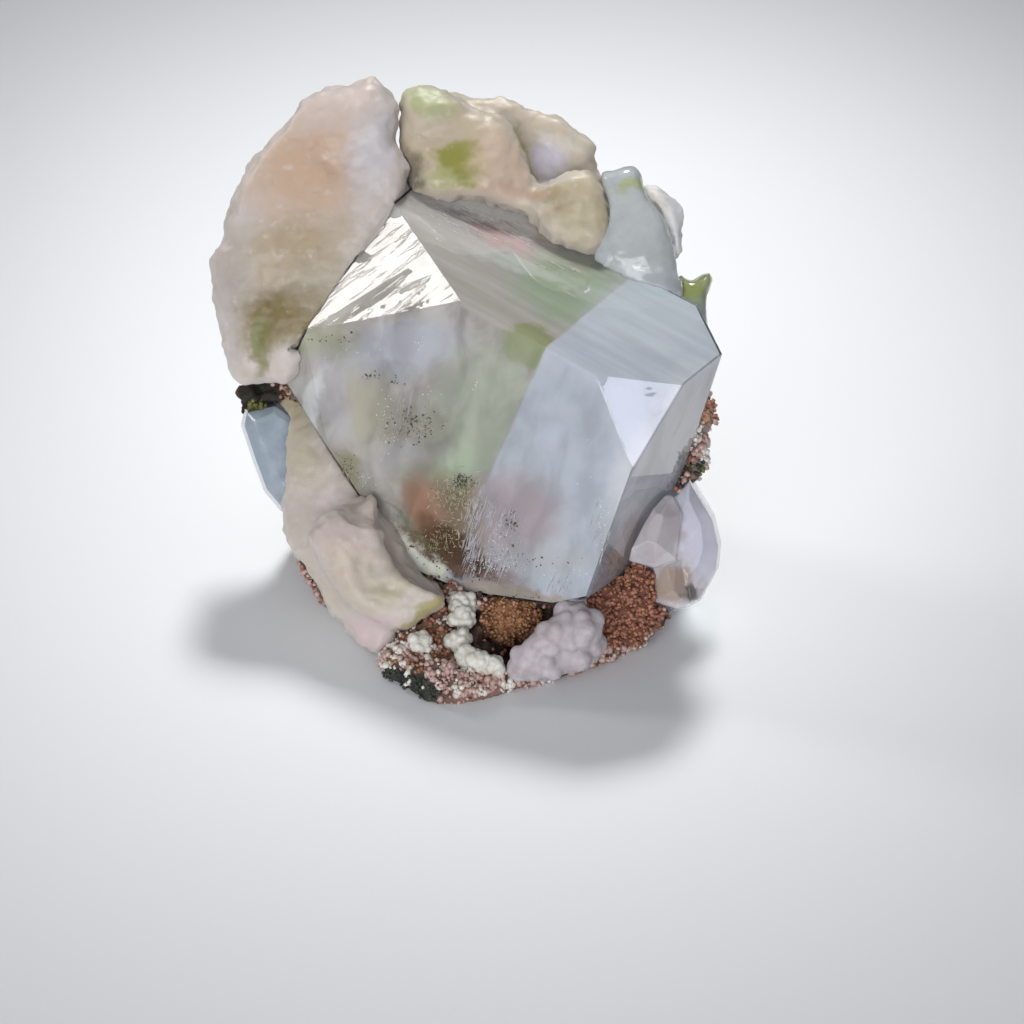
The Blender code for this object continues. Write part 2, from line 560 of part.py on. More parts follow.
def pieces_in_order():
    """Each piece with its material; a piece is cut back by those before it."""
    clear = make_material("Clear apophyllite", (0.86, 0.90, 0.89), 0.06, 0.9, 1.535)
    smoky = make_material("Grey apophyllite", (0.72, 0.77, 0.78), 0.15, 0.6, 1.535)
    green = make_material("Green apophyllite", (0.62, 0.66, 0.36), 0.15, 0.6, 1.535)
    peach = make_material("Peach stilbite", (0.80, 0.66, 0.56), 0.35)
    cream = make_material("Cream stilbite", (0.82, 0.78, 0.70), 0.35)
    white = make_material("White crust", (0.88, 0.85, 0.86), 0.5)
    right = [lambda grow, crystal=crystal: small_crystal(*crystal, grow) for crystal in RIGHT_CRYSTALS]
    pieces = [
        (FlatFaced("apophyllite_main", [main_crystal]), clear),
        (FlatFaced("apophyllite_right", right), clear),
        (FlatFaced("apophyllite_left", [lambda grow: small_crystal(*LEFT_CRYSTAL, grow)]), smoky),
        (Rounded("stilbite_lower", (BLADE_LOWER_LEFT, LOBE_LOWER_FRONT), 0.5, 850), cream),
        (Rounded("stilbite_left", (SHEAF_LEFT,), 0.5, 900), peach),
        (Rounded("stilbite_top", (BLADE_TOP_FRONT, BLADE_TOP_BACK, LOBE_CREAM), 0.5, 980), peach),
        (Rounded("apophyllite_back", (PLATE_GREY,), 0.5, 300), smoky),
        (Rounded("stilbite_right", (BLADE_RIGHT,), 0.4, 260), cream),
        (Rounded("apophyllite_knob", (KNOB_GREEN,), 0.4, 220), green),
        (Rounded("white_mass", WHITE_MASS, 0.4, 420), white),
    ]
    for index, balls in enumerate(WHITE_CLUSTERS):
        pieces.append((Rounded(f"white_cluster_{index + 1}", balls, 0.25, 200), white))
    return pieces


def boxes_meet(first, second):
    """Whether the boxes around two objects overlap."""
    for axis in range(3):
        lows = [min(vert.co[axis] for vert in obj.data.vertices) for obj in (first, second)]
        highs = [max(vert.co[axis] for vert in obj.data.vertices) for obj in (first, second)]
        if lows[0] > highs[1] or lows[1] > highs[0]:
            return False
    return True


def cut_back(obj, neighbours):
    """Cut an object back by its neighbours, leaving the gap between them."""
    for neighbour in neighbours:
        cutter = neighbour.build(GAP)
        if boxes_meet(obj, cutter):
            combine(obj, cutter, "DIFFERENCE")
        else:
            bpy.data.objects.remove(cutter)
    keep_main_body(obj)


def finish_piece(obj, name, material):
    obj.name = name
    obj.location = CENTRE_SHIFT * MM
    obj.data.materials.clear()
    obj.data.materials.append(material)
    obj.data.shade_flat()


def main():
    noise.seed_set(NOISE_SEED)
    for obj in list(bpy.data.objects):
        bpy.data.objects.remove(obj)
    built = []
    for piece, material in pieces_in_order():
        obj = piece.build()
        cut_back(obj, built)
        finish_piece(obj, piece.name, material)
        built.append(piece)
    rock = matrix_rock()
    cut_back(rock, built)
    combine(rock, floor_cutter(), "DIFFERENCE")
    keep_main_body(rock)
    finish_piece(rock, "matrix", make_material("Brown matrix", (0.42, 0.30, 0.25), 0.8))


main()
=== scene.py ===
"""Apophyllite cluster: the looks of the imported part, laid out as an add-on and run as a script.

One large clear apophyllite crystal with milky and green zones, smaller crystals, peach stilbite
blades and white masses, on a rock crusted with brown and pink grains. The frame is in metres;
sizes named here are in millimetres unless their names say otherwise.
"""

import math
import random

import bmesh
import bpy
from bpy.props import FloatProperty, FloatVectorProperty, PointerProperty
from mathutils import Euler, Matrix, Vector, noise
from mathutils.bvhtree import BVHTree
from mathutils.geometry import intersect_line_plane


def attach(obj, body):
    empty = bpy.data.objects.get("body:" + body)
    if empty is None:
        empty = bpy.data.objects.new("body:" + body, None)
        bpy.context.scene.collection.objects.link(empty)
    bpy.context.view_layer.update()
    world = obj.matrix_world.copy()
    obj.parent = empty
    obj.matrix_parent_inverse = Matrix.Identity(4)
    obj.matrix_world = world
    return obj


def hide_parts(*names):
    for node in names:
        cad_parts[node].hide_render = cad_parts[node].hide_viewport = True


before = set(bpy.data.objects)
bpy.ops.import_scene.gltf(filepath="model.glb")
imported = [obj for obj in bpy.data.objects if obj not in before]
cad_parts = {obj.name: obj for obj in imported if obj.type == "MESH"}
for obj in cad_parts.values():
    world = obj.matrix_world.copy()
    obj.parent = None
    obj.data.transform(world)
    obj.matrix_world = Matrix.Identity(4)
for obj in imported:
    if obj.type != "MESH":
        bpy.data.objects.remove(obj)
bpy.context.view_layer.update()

bl_info = {
    "name": "Apophyllite Cluster",
    "version": (1, 0, 0),
    "blender": (4, 5, 0),
    "location": "3D View > Sidebar > Cluster",
    "description": "Dresses the apophyllite cluster: crystals, blades, white masses and crusted rock",
    "category": "Object",
}

MM = 0.001
SEED = 7                        # for every random draw, so that each run gives the same

# The view: the outlines of the photograph are on a plane that leans back by this angle
LEAN = math.radians(28)
VIEW_CENTRE = Vector((-0.59, -2.81, 23.7))
EYE_DISTANCE = 400.0            # from the view centre, mm
RIGHT = Vector((1.0, 0.0, 0.0))
UP = Vector((0.0, math.sin(LEAN), math.cos(LEAN)))
NEAR = Vector((0.0, -math.cos(LEAN), math.sin(LEAN)))
DISPLAY_TURN = Euler((math.radians(90) - LEAN, 0.0, 0.0))
CENTRE_PIXEL = (460.0, 390.0)   # of the photograph, where it shows the view centre
PIXELS_PER_MM = 10.0
PICTURE = 1024                  # width and height of the photograph, pixels
SENSOR = 36.0                   # width of the camera's sensor, mm

# The main crystal's own axes: right, back and up from the corner that its near facet cuts off
CRYSTAL_CORNER = Vector((18.05, -20.87, 31.47))
CRYSTAL_TURN = Euler((math.radians(-4), math.radians(15.5), math.radians(-30)))
CRYSTAL_IOR = 1.535             # of apophyllite
FLAT_FACE_ANGLE = math.radians(12)      # edges sharper than this stay sharp on flat-faced crystals
# The plane that parts the milky side from the green one shows as a line through these pixels
GROWTH_PLANE_PIXELS = ((545, 348), (490, 470), (620, 285))


def photo_point(px, py, near=0.0):
    """World place, in mm, of a pixel of the photograph at a distance in front of the view centre."""
    shrink = 1 - near / EYE_DISTANCE
    across = (px - CENTRE_PIXEL[0]) / PIXELS_PER_MM * shrink
    up = (CENTRE_PIXEL[1] - py) / PIXELS_PER_MM * shrink
    return VIEW_CENTRE + RIGHT * across + UP * up + NEAR * near


def pixel_of(spot):
    """The pixel of the photograph that shows a place."""
    offset = spot - VIEW_CENTRE
    scale = PIXELS_PER_MM / (1 - offset.dot(NEAR) / EYE_DISTANCE)
    return CENTRE_PIXEL[0] + offset.dot(RIGHT) * scale, CENTRE_PIXEL[1] - offset.dot(UP) * scale


def eye():
    """The place from which the photograph is seen."""
    return VIEW_CENTRE + NEAR * EYE_DISTANCE


def look(px, py):
    """Direction from the eye through a pixel."""
    return (photo_point(px, py) - eye()).normalized()


class Skin:
    """The surface of a CAD node or a made piece, for finding places on it; all in mm."""

    def __init__(self, obj):
        mesh = obj.data
        corners = [vert.co / MM for vert in mesh.vertices]
        self.tree = BVHTree.FromPolygons(corners, [tuple(face.vertices) for face in mesh.polygons])

    def seen_at(self, px, py):
        """Place and outward normal of what a pixel shows, or None."""
        spot, normal, _, _ = self.tree.ray_cast(eye(), look(px, py))
        if spot is None:
            return None
        if normal.dot(look(px, py)) > 0:
            normal = -normal
        return spot, normal

    def inside_at(self, px, py, depth):
        """The place so deep in the crystal that shows at a pixel, seen through its face."""
        hit = self.seen_at(px, py)
        if hit is None:
            return None
        spot, normal = hit
        ray = look(px, py)
        ratio = 1 / CRYSTAL_IOR
        cosine = -normal.dot(ray)
        bent = ray * ratio + normal * (ratio * cosine - math.sqrt(1 - ratio ** 2 * (1 - cosine ** 2)))
        return spot + bent * depth


def new_object(name, mesh):
    """An object in the scene, made of a mesh."""
    obj = bpy.data.objects.new(name, mesh)
    bpy.context.scene.collection.objects.link(obj)
    return obj


def object_from_bmesh(name, bm):
    """Turn a bmesh in mm into an object in metres."""
    bmesh.ops.scale(bm, vec=(MM, MM, MM), verts=bm.verts)
    mesh = bpy.data.meshes.new(name)
    bm.to_mesh(mesh)
    bm.free()
    return new_object(name, mesh)


def settle(obj, slot, material, *replaced):
    """Give a piece its material and body, and hide the CAD nodes that it stands for; the slot is not used."""
    obj.data.materials.clear()
    obj.data.materials.append(material)
    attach(obj, "root")
    if replaced:
        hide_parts(*replaced)
    return obj


def apply_modifiers(obj):
    """Make what an object's modifiers give its own mesh."""
    depsgraph = bpy.context.evaluated_depsgraph_get()
    mesh = bpy.data.meshes.new_from_object(obj.evaluated_get(depsgraph))
    obj.modifiers.clear()
    obj.data = mesh


def fuse(obj, voxel, smoothing=0):
    """Give an object one even skin of a mesh size in mm, and smooth it so many times."""
    modifier = obj.modifiers.new("Fine mesh", "REMESH")
    modifier.mode = "VOXEL"
    modifier.voxel_size = voxel * MM
    if smoothing:
        smooth = obj.modifiers.new("Smooth", "SMOOTH")
        smooth.factor = 0.5
        smooth.iterations = smoothing
    apply_modifiers(obj)


def fine_copy(node_name, name, voxel, smoothing=0):
    """A copy of a CAD node's solid with a fine, even mesh, smoothed so many times."""
    obj = new_object(name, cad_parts[node_name].data.copy())
    fuse(obj, voxel, smoothing)
    return obj


MEET_REACH = 0.75               # what lies this near the main crystal is drawn to it, mm
MEET_PUSH = 0.45                # at most by this much
MEET_OVERLAP = 0.05             # and no further into it than this


def meet(obj, skin):
    """Move what nearly touches another piece towards it, so that no gap shows."""
    for vert in obj.data.vertices:
        spot = vert.co / MM
        near, _, _, distance = skin.tree.find_nearest(spot, MEET_REACH)
        if near is not None and distance > 1e-6:
            vert.co += (near - spot) / distance * min(MEET_PUSH, distance + MEET_OVERLAP) * MM


def shape_surface(obj, height):
    """Move each vertex along its normal by a height in mm that depends on its place in mm."""
    mesh = obj.data
    normals = [vert.normal.copy() for vert in mesh.vertices]
    for vert, normal in zip(mesh.vertices, normals):
        vert.co += normal * (height(vert.co / MM, normal) * MM)
    mesh.update()
    mesh.shade_smooth()


def ball_shape():
    """Corners and faces of a small rounded grain of radius 1."""
    bm = bmesh.new()
    bmesh.ops.create_icosphere(bm, subdivisions=1, radius=1.0)
    corners = [vert.co.copy() for vert in bm.verts]
    faces = [[vert.index for vert in face.verts] for face in bm.faces]
    bm.free()
    return corners, faces


def pyramid_shape():
    """Corners and faces of a small double pyramid of radius 1."""
    spots = (1, 0, 0), (0, 1, 0), (-1, 0, 0), (0, -1, 0), (0, 0, 1), (0, 0, -1)
    corners = [Vector(spot) for spot in spots]
    faces = []
    for first, second in ((0, 1), (1, 2), (2, 3), (3, 0)):
        faces += [(first, second, 4), (second, first, 5)]
    return corners, faces


UNEVEN = (0.82, 1.18)           # how unevenly far from its middle a grain's corners lie


def add_grain(corners, faces, shape, place, radii, turn, draw):
    """Add one grain of a shape to the lists, its corners a little uneven; place and radii in mm."""
    start = len(corners)
    for corner in shape[0]:
        spot = Vector([corner[axis] * radii[axis] * draw.uniform(*UNEVEN) for axis in range(3)])
        corners.append((place + turn @ spot) * MM)
    faces += [[start + index for index in face] for face in shape[1]]


def random_turn(draw):
    """Any turn, as a matrix."""
    return Euler([draw.uniform(0, 2 * math.pi) for _ in range(3)]).to_matrix()


def title(name):
    """A piece's name as that of its finish."""
    return name.replace("_", " ").capitalize()


def object_from_lists(name, corners, faces):
    """An object made of corners in metres and faces."""
    mesh = bpy.data.meshes.new(name)
    mesh.from_pydata(corners, [], faces)
    return new_object(name, mesh)


# Node helpers

def give(tree, socket, value):
    """Link another node's output to an input, or set the input to a value."""
    if isinstance(value, bpy.types.NodeSocket):
        tree.links.new(value, socket)
    else:
        socket.default_value = value


def node(tree, kind, inputs=None, **settings):
    """A node with these settings, and with outputs or values given to its inputs."""
    made = tree.nodes.new(kind)
    for key, value in settings.items():
        setattr(made, key, value)
    for key, value in (inputs or {}).items():
        give(tree, made.inputs[key], value)
    return made


def math_node(tree, operation, first, second=0.0, clamp=False):
    """Two numbers put together."""
    made = node(tree, "ShaderNodeMath", {0: first, 1: second}, operation=operation)
    made.use_clamp = clamp
    return made.outputs[0]


def blend_colours(tree, share, first, second):
    """First colour where the share is 0, second where it is 1."""
    made = tree.nodes.new("ShaderNodeMix")
    made.data_type = "RGBA"
    give(tree, made.inputs[0], share)
    # Inputs 6 and 7 and output 2 are the ones for colours
    for socket, colour in ((made.inputs[6], first), (made.inputs[7], second)):
        if not isinstance(colour, bpy.types.NodeSocket):
            colour = (*colour[:3], 1.0)
        give(tree, socket, colour)
    return made.outputs[2]


def spread(tree, value, low, high, out_low=0.0, out_high=1.0):
    """Map a value smoothly from one range to another."""
    made = node(tree, "ShaderNodeMapRange", {0: value, 1: low, 2: high, 3: out_low, 4: out_high})
    made.interpolation_type = "SMOOTHSTEP"
    return made.outputs[0]


def noise_fac(tree, place, scale, detail, **settings):
    """Noise over a place, from 0 to 1."""
    inputs = {"Vector": place, "Scale": scale, "Detail": detail, **settings}
    return node(tree, "ShaderNodeTexNoise", inputs).outputs["Fac"]


def stretched(tree, place, scale):
    """A place whose axes are scaled, so that what is laid over it is drawn out."""
    return node(tree, "ShaderNodeMapping", {"Vector": place, "Scale": scale}).outputs[0]


def vector_math(tree, operation, first, second=None, output=0):
    """One or two vectors put to an operation."""
    inputs = {0: first} if second is None else {0: first, 1: second}
    return node(tree, "ShaderNodeVectorMath", inputs, operation=operation).outputs[output]


def scaled_vector(tree, vector, scale):
    """A vector or colour times a number."""
    made = node(tree, "ShaderNodeVectorMath", {0: vector, "Scale": scale}, operation="SCALE")
    return made.outputs[0]


def new_group(name, inputs, outputs):
    """A shared effect, empty but for the nodes of its inputs and outputs."""
    tree = bpy.data.node_groups.new(name, "ShaderNodeTree")
    for label, kind, value in inputs:
        socket = tree.interface.new_socket(name=label, in_out="INPUT", socket_type=kind)
        if value is not None:
            socket.default_value = value
    for label, kind in outputs:
        tree.interface.new_socket(name=label, in_out="OUTPUT", socket_type=kind)
    return tree, tree.nodes.new("NodeGroupInput"), tree.nodes.new("NodeGroupOutput")


def use_group(tree, effect, inputs):
    """A node that brings a shared effect into a material."""
    return node(tree, "ShaderNodeGroup", inputs, node_tree=effect)


def patch_group():
    """A soft-edged, turned oval around a place."""
    tree, given, result = new_group(
        "Patch",
        [("Position", "NodeSocketVector", None), ("Centre", "NodeSocketVector", None),
         ("Size", "NodeSocketVector", (1.0, 1.0, 1.0)), ("Edge", "NodeSocketFloat", 0.5),
         ("Turn", "NodeSocketFloat", 0.0)],
        [("Mask", "NodeSocketFloat")])
    offset = vector_math(tree, "SUBTRACT", given.outputs["Position"], given.outputs["Centre"])
    turned = node(tree, "ShaderNodeVectorRotate", {"Vector": offset, "Angle": given.outputs["Turn"]},
                  rotation_type="Z_AXIS").outputs[0]
    scaled = vector_math(tree, "DIVIDE", turned, given.outputs["Size"])
    length = vector_math(tree, "LENGTH", scaled, output="Value")
    low = math_node(tree, "SUBTRACT", 1.0, given.outputs["Edge"])
    high = math_node(tree, "ADD", 1.0, given.outputs["Edge"])
    tree.links.new(spread(tree, length, low, high, 1.0, 0.0), result.inputs["Mask"])
    return tree


def cloud_group():
    """Soft clouds in two sizes, with the height of a faint relief."""
    tree, given, result = new_group(
        "Clouds",
        [("Position", "NodeSocketVector", None), ("Size", "NodeSocketFloat", 3.0),
         ("Contrast", "NodeSocketFloat", 1.0)],
        [("Value", "NodeSocketFloat"), ("Height", "NodeSocketFloat")])
    place = given.outputs["Position"]
    scale = math_node(tree, "DIVIDE", 1.0, given.outputs["Size"])
    broad = noise_fac(tree, place, scale, 5.0, Roughness=0.55)
    fine = noise_fac(tree, place, math_node(tree, "MULTIPLY", scale, 6.0), 3.0)
    shifted = math_node(tree, "SUBTRACT", broad, 0.5)
    value = math_node(tree, "MULTIPLY", shifted, given.outputs["Contrast"])
    value = math_node(tree, "ADD", value, 0.5, clamp=True)
    tree.links.new(value, result.inputs["Value"])
    height = math_node(tree, "ADD", broad, math_node(tree, "MULTIPLY", fine, 0.4))
    tree.links.new(height, result.inputs["Height"])
    return tree


GROUPS = {}


def group(name):
    """The shared effect of that name, built the first time it is asked for."""
    if name not in GROUPS:
        GROUPS[name] = {"patch": patch_group, "clouds": cloud_group}[name]()
    return GROUPS[name]


PATCH_WANDER = 3.0              # how far the edges of the patches of colour wander, mm
THROUGH = 60.0                  # a patch of colour goes right through a piece, mm
SHADOW_TINT = (0.93, 0.95, 0.94, 1.0)   # what a clear crystal lets through of the direct light


class Finish:
    """A material being made: its tree, shader and the place of each point in mm."""

    def __init__(self, name, **constants):
        self.material = bpy.data.materials.new(name)
        self.material.use_nodes = True
        self.tree = self.material.node_tree
        self.shader = self.tree.nodes["Principled BSDF"]
        self.output = self.tree.nodes["Material Output"]
        for key, value in constants.items():
            self.shader.inputs[key.replace("_", " ")].default_value = value
        place = node(self.tree, "ShaderNodeTexCoord").outputs["Object"]
        self.place = scaled_vector(self.tree, place, 1 / MM)
        self.view_place = None

    def crystal_place(self):
        """Each point's place in the main crystal's own axes, mm."""
        mapping = node(self.tree, "ShaderNodeMapping", {"Vector": self.place, "Location": CRYSTAL_CORNER,
                                                        "Rotation": CRYSTAL_TURN}, vector_type="TEXTURE")
        return mapping.outputs[0]

    def display_place(self, wander):
        """Each point's place on the leaning plane of the view, mm, made to wander by so much."""
        mapping = node(self.tree, "ShaderNodeMapping", {"Vector": self.place, "Location": VIEW_CENTRE,
                                                        "Rotation": DISPLAY_TURN}, vector_type="TEXTURE")
        drift = node(self.tree, "ShaderNodeTexNoise", {"Vector": self.place, "Scale": 0.55, "Detail": 4.0})
        drift = vector_math(self.tree, "SUBTRACT", drift.outputs["Color"], (0.5, 0.5, 0.5))
        return vector_math(self.tree, "ADD", mapping.outputs[0], scaled_vector(self.tree, drift, wander))

    def patch(self, centre, half_sizes, edge, turn):
        """A mask around a place on the view plane: half sizes in pixels, turned by so many degrees."""
        if self.view_place is None:
            self.view_place = self.display_place(PATCH_WANDER)
        half_width, half_height = half_sizes
        made = use_group(self.tree, group("patch"), {
            "Position": self.view_place, "Centre": tuple(centre), "Edge": edge,
            "Size": (half_width / PIXELS_PER_MM, half_height / PIXELS_PER_MM, THROUGH),
            "Turn": math.radians(-turn)})
        return made.outputs["Mask"]

    def paint(self, colour, areas):
        """Lay patches of colour over a base: pixel, half sizes in pixels, turn, edge, colour, strength."""
        for px, py, half_width, half_height, turn, edge, patch_colour, strength in areas:
            centre = ((px - CENTRE_PIXEL[0]) / PIXELS_PER_MM, (CENTRE_PIXEL[1] - py) / PIXELS_PER_MM, 0.0)
            mask = self.patch(centre, (half_width, half_height), edge, turn)
            colour = self.tint(colour, mask, patch_colour, strength)
        return colour

    def clouds(self, size, contrast, place=None):
        """Soft clouds of a size in mm, and the height of their relief."""
        made = use_group(self.tree, group("clouds"), {
            "Position": place or self.place, "Size": size, "Contrast": contrast})
        return made.outputs["Value"], made.outputs["Height"]

    def tint(self, base, mask, colour, strength):
        """Lay a colour over a base where the mask is, at most at the given strength."""
        share = math_node(self.tree, "MULTIPLY", mask, strength)
        return blend_colours(self.tree, share, base, colour)

    def feed(self, name, value):
        """Link a value to an input of the shader."""
        self.tree.links.new(value, self.shader.inputs[name])

    def bump(self, height, strength, distance):
        """A relief in the shading, its distance in mm."""
        made = node(self.tree, "ShaderNodeBump", {"Height": height, "Strength": strength,
                                                  "Distance": distance * MM})
        self.tree.links.new(made.outputs[0], self.shader.inputs["Normal"])

    def let_light_through(self):
        """Glass lets direct light through to what is inside it."""
        tree = self.tree
        path = node(tree, "ShaderNodeLightPath")
        clear = node(tree, "ShaderNodeBsdfTransparent", {"Color": SHADOW_TINT})
        mixed = node(tree, "ShaderNodeMixShader", {0: path.outputs["Is Shadow Ray"],
                                                   1: self.shader.outputs[0], 2: clear.outputs[0]})
        tree.links.new(mixed.outputs[0], self.output.inputs["Surface"])


# The main crystal

SAME_DIRECTION = 0.9999         # normals whose dot product is over this point the same way
SAME_PLANE = 0.02               # and faces are one where their planes are this near, mm


def planes_of(obj):
    """Point and outward normal of each flat face of a convex CAD node, in mm."""
    planes = []
    for face in sorted(obj.data.polygons, key=lambda face: -face.area):
        point = obj.data.vertices[face.vertices[0]].co / MM
        normal = face.normal.copy()
        if all(normal.dot(other) < SAME_DIRECTION or abs((point - spot).dot(other)) > SAME_PLANE
               for spot, other in planes):
            planes.append((point, normal))
    return planes


BLOCK_SIZE = 300.0              # of the block that the planes cut the crystal from, mm


def convex_solid(planes, grow):
    """The solid inside all the planes, each moved outwards by grow."""
    bm = bmesh.new()
    bmesh.ops.create_cube(bm, size=BLOCK_SIZE)
    for point, normal in planes:
        geometry = bm.verts[:] + bm.edges[:] + bm.faces[:]
        cut = bmesh.ops.bisect_plane(bm, geom=geometry, dist=1e-5, plane_co=point + normal * grow,
                                     plane_no=normal, clear_outer=True)
        edges = [item for item in cut["geom_cut"] if isinstance(item, bmesh.types.BMEdge)]
        if len(edges) > 2:
            bmesh.ops.contextual_create(bm, geom=edges)
    bmesh.ops.remove_doubles(bm, verts=bm.verts, dist=1e-3)
    bmesh.ops.recalc_face_normals(bm, faces=bm.faces)
    return bm


MOST_SPLITS = 12                # rounds of splitting, far more than any piece needs


def split_long_edges(bm, longest):
    """Split edges until none is longer than the length that the function gives for its middle."""
    bmesh.ops.triangulate(bm, faces=bm.faces)
    for _ in range(MOST_SPLITS):
        long_edges = [edge for edge in bm.edges
                      if edge.calc_length() > longest((edge.verts[0].co + edge.verts[1].co) / 2)]
        if not long_edges:
            break
        bmesh.ops.subdivide_edges(bm, edges=long_edges, cuts=1, use_grid_fill=False)
        bmesh.ops.triangulate(bm, faces=bm.faces)


# Growth steps on the bright corner facets: hinge line, far line (pixels), slope of the part between
LEFT_FACET_PIXEL = (385, 280)
NEAR_FACET_PIXEL = (636, 405)
LEFT_STEP_SHARE = 1.7           # the left facet's steps are so many times as steep as these slopes
LEFT_FACET_STEPS = (
    (((303, 331), (318, 322), (338, 311), (360, 297), (385, 281), (411, 266)),
     ((318, 331), (335, 326), (360, 312), (385, 296), (402, 281), (411, 271)), -3.4),
    (((398, 291), (415, 280), (432, 274)), ((402, 293), (423, 284), (432, 277)), -4.0),
    (((402, 309), (419, 303), (434, 297)), ((404, 312), (421, 306), (434, 299)), -3.6),
    (((358, 247), (375, 256), (373, 260)), ((356, 251), (353, 260), (362, 262)), 4.0),
    (((384, 212), (393, 204)), ((380, 217), (402, 217)), 3.4),
    (((366, 310), (400, 300), (425, 288)), ((367, 312), (401, 302), (427, 290)), -4.5),
    (((334, 300), (352, 290), (372, 277)), ((335, 302), (353, 292), (373, 279)), -4.0),
    (((352, 283), (378, 268), (398, 252)), ((353, 285), (379, 270), (399, 254)), -3.5),
    (((376, 248), (392, 240), (404, 238)), ((377, 250), (393, 242), (405, 240)), -3.5),
    (((345, 323), (372, 318), (398, 316)), ((346, 325), (373, 320), (399, 318)), 4.5),
    (((360, 262), (372, 258), (384, 262)), ((361, 264), (372, 260), (383, 264)), 3.5),
)
NEAR_FACET_STEPS = (
    (((610, 370), (606, 385), (592, 392)), ((596, 372), (590, 378), (588, 390)), 5.0),
    (((632, 374), (645, 379), (656, 383)), ((634, 371), (650, 375), (661, 379)), 4.0),
    (((640, 388), (650, 384), (662, 388)), ((642, 394), (654, 393), (661, 392)), -2.2),
)


def on_facet(px, py, point, normal):
    """Where the line of sight through a pixel meets a facet's plane."""
    far = eye() + look(px, py) * (2 * EYE_DISTANCE)
    return intersect_line_plane(eye(), far, point, normal)


def inside_outline(spot, outline):
    """Whether a 2D spot is inside a closed outline."""
    inside = False
    for start, end in zip(outline, outline[1:] + outline[:1]):
        if (start.y > spot.y) != (end.y > spot.y):
            if spot.x < start.x + (end.x - start.x) * (spot.y - start.y) / (end.y - start.y):
                inside = not inside
    return inside


def distance_to_line(spot, line):
    """Distance from a 2D spot to a run of straight pieces."""
    best = 1e9
    for start, end in zip(line, line[1:]):
        span = end - start
        share = min(max((spot - start).dot(span) / span.length_squared, 0.0), 1.0)
        best = min(best, (start + span * share - spot).length)
    return best


class FacetRelief:
    """Growth steps on one facet: parts of it that tilt away from a hinge line."""

    def __init__(self, skin, pixel, steps):
        self.point, self.normal = skin.seen_at(*pixel)
        self.across = self.normal.orthogonal().normalized()
        self.along = self.normal.cross(self.across)
        self.steps = []
        for hinge, far, slope in steps:
            hinge, far = self.line(hinge), self.line(far)
            self.steps.append((hinge, hinge + far[::-1], math.tan(math.radians(slope))))

    def line(self, pixels):
        """A line through pixels, as places on the facet."""
        return [self.flat(on_facet(*pixel, self.point, self.normal)) for pixel in pixels]

    def flat(self, spot):
        """A place in the facet's own two axes, mm."""
        offset = spot - self.point
        return Vector((offset.dot(self.across), offset.dot(self.along)))

    def above(self, spot):
        """How far a place lies above the facet's plane."""
        return (spot - self.point).dot(self.normal)

    def height(self, spot):
        """How far the steps and a faint waviness raise the facet at a place."""
        place = self.flat(spot)
        height = 0.008 * noise.noise(spot * 0.8) + 0.002 * noise.noise(spot * 3.0)
        for hinge, outline, slope in self.steps:
            if inside_outline(place, outline):
                height += slope * distance_to_line(place, hinge)
        return height


BODY_INSET = 0.02               # the crystal's outer faces lie this far inside those of the solid, mm
BLUNT_EDGE = 0.09               # width of its blunted edges, mm
FACET_MESH = 0.32               # longest mesh edge on a stepped facet and elsewhere, mm
FACE_MESH = 1.6
NEAR_FACET_PLANE = 0.05         # what lies this near a facet's plane gets its fine mesh, mm
ON_FACET_PLANE = 0.004          # and what lies this near, its steps


def crystal_body():
    """The main crystal's outer surface, with blunted edges and growth steps on its facets."""
    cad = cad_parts["apophyllite_main"]
    skin = Skin(cad)
    bm = convex_solid(planes_of(cad), -BODY_INSET)
    left_steps = [(hinge, far, slope * LEFT_STEP_SHARE) for hinge, far, slope in LEFT_FACET_STEPS]
    reliefs = [FacetRelief(skin, LEFT_FACET_PIXEL, left_steps),
               FacetRelief(skin, NEAR_FACET_PIXEL, NEAR_FACET_STEPS)]
    bmesh.ops.bevel(bm, geom=bm.edges[:], offset=BLUNT_EDGE, segments=1, affect="EDGES", profile=0.5)

    def longest(spot):
        near = any(abs(relief.above(spot)) < NEAR_FACET_PLANE for relief in reliefs)
        return FACET_MESH if near else FACE_MESH

    split_long_edges(bm, longest)
    bm.normal_update()
    for vert in bm.verts:
        height = 0.0
        for relief in reliefs:
            if abs(relief.above(vert.co) + BODY_INSET) < ON_FACET_PLANE:
                height = relief.height(vert.co)
                vert.co += relief.normal * height
        if not height:
            vert.co += vert.normal * (0.012 * noise.noise(vert.co * 0.5) - 0.006)
    obj = object_from_bmesh("main_crystal", bm)
    obj.data.shade_smooth()
    obj.data.set_sharp_from_angle(angle=FLAT_FACE_ANGLE)
    return obj, skin


FACET_LINE_SLOPE = 31           # of the growth lines on the left facet, degrees
FACET_LINE_HEIGHT = 30.0        # of these lines, as against the streaks of the other faces


def facet_lines(finish, skin):
    """Fine slanting growth lines on the bright left facet, as a height."""
    tree = finish.tree
    _, normal = skin.seen_at(*LEFT_FACET_PIXEL)
    outward = node(tree, "ShaderNodeNewGeometry").outputs["Normal"]
    facing = vector_math(tree, "DOT_PRODUCT", outward, tuple(normal), output="Value")
    turned = node(tree, "ShaderNodeVectorRotate", {"Vector": finish.display_place(0.5),
                                                   "Angle": math.radians(-FACET_LINE_SLOPE)},
                  rotation_type="Z_AXIS").outputs[0]
    lines = noise_fac(tree, stretched(tree, turned, (0.10, 1.6, 1.0)), 1.0, 5.0)
    on_facet_only = spread(tree, facing, 0.94, 0.98)
    return math_node(tree, "MULTIPLY", spread(tree, lines, 0.55, 0.68), on_facet_only)


